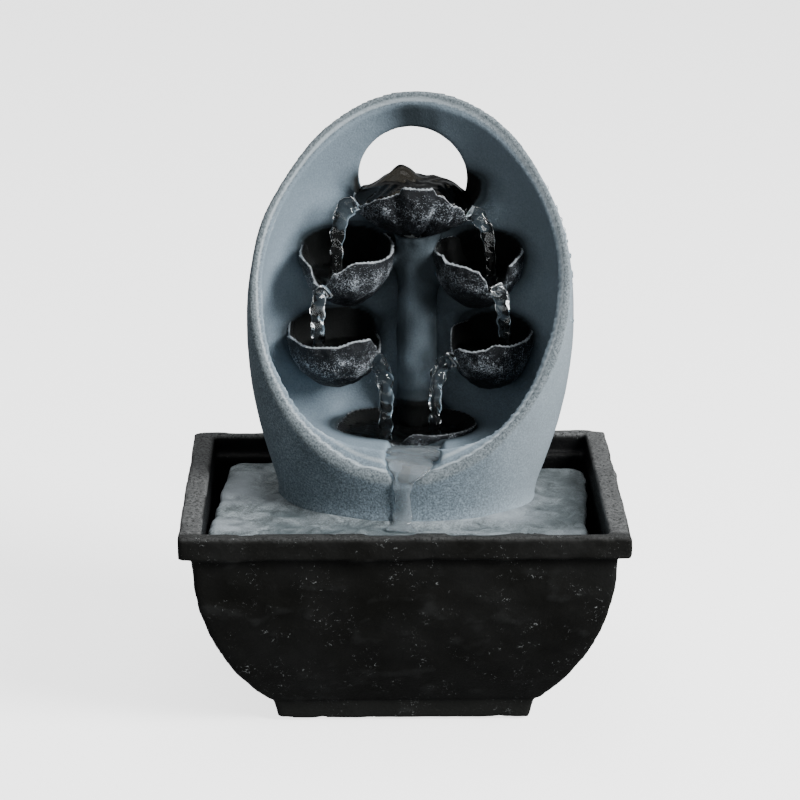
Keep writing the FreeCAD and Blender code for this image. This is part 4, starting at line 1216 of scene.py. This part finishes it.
deck = carve(
    "deck_skin", deck_field,
    (-DECK_HALF_WIDE - MARGIN, DECK_FRONT - MARGIN, FLOOR_TOP - MARGIN),
    (DECK_HALF_WIDE + MARGIN, DECK_BACK + MARGIN, DECK_TOP + MARGIN + 2),
    DECK_STEP, DECK_TURN, deck_paint(),
)
paint_piece(deck, deck_material())

shell = carve(
    "shell_skin", shell_field,
    (-EGG_HALF_WIDE - MARGIN, EGG_Y - EGG_HALF_DEEP - MARGIN, DECK_TOP - MARGIN),
    (EGG_HALF_WIDE + MARGIN + 4, EGG_Y + EGG_HALF_DEEP + MARGIN, EGG_Z + EGG_RISE - 10),
    SHELL_STEP, EGG_TURN, shell_paint(),
)
paint_piece(shell, shell_material())
for piece, node in ((deck, "deck"), (shell, "shell")):
    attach(piece, "sculpture")
    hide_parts(node)

stone = bowl_material()
water = water_material("clear_water", (0.93, 0.97, 0.98))
film_water = water_material("film_water", (0.66, 0.73, 0.77), 0.86)
deep_water = water_material("deep_water", (0.012, 0.011, 0.009))
for name, (centre, radii, _, _) in BOWLS.items():
    low = [middle - half - BOWL_MARGIN for middle, half in zip(centre, radii)]
    high = [centre[0] + radii[0] + BOWL_MARGIN, centre[1] + radii[1] + BOWL_MARGIN, centre[2] + BOWL_HEADROOM]
    bowl = carve(name + "_skin", bowl_field(name), low, high, BOWL_STEP, EGG_TURN, bowl_paint(name))
    paint_piece(bowl, stone)
    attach(bowl, "sculpture")
    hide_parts(name)
    pool = carve(name + "_water", bowl_water(name), low, high, BOWL_WATER_STEP, EGG_TURN)
    paint_piece(pool, deep_water if name == "top_bowl" else water)
    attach(pool, "sculpture")

for index, (name, route) in enumerate(STREAMS.items()):
    piece = stream(name, route, STREAM_SEED + index)
    paint_piece(piece, film_water if name == "spill_film" else water)
    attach(piece, "sculpture")

drops = droplets("droplets", DROP_COUNT, DROP_SEED)
paint_piece(drops, water)
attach(drops, "sculpture")

store = carve(
    "basin_water", basin_water,
    (-BODY_HALF_WIDE, -BODY_HALF_DEEP, FLOOR_TOP - MARGIN),
    (BODY_HALF_WIDE, BODY_HALF_DEEP, WATER_LEVEL + MARGIN),
    BASIN_WATER_STEP,
)
paint_piece(store, water)
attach(store, "basin")

finishes = {name: plain_material(name, *values) for name, values in PLAIN.items()}
for part in frame["record"]["subparts"]:
    if part["material_slot"] in finishes:
        paint_node(frame["nodes"][part["node"]], finishes[part["material_slot"]])

add_stage()
add_world()
add_light("key", place=(1.35, -0.85, 1.15), target=(0.0, 0.0, 0.15), size=(0.7, 0.9), power=68)
add_light("top", place=(-0.1, 0.25, 1.8), target=(0.0, 0.0, 0.1), size=(1.2, 1.2), power=10)
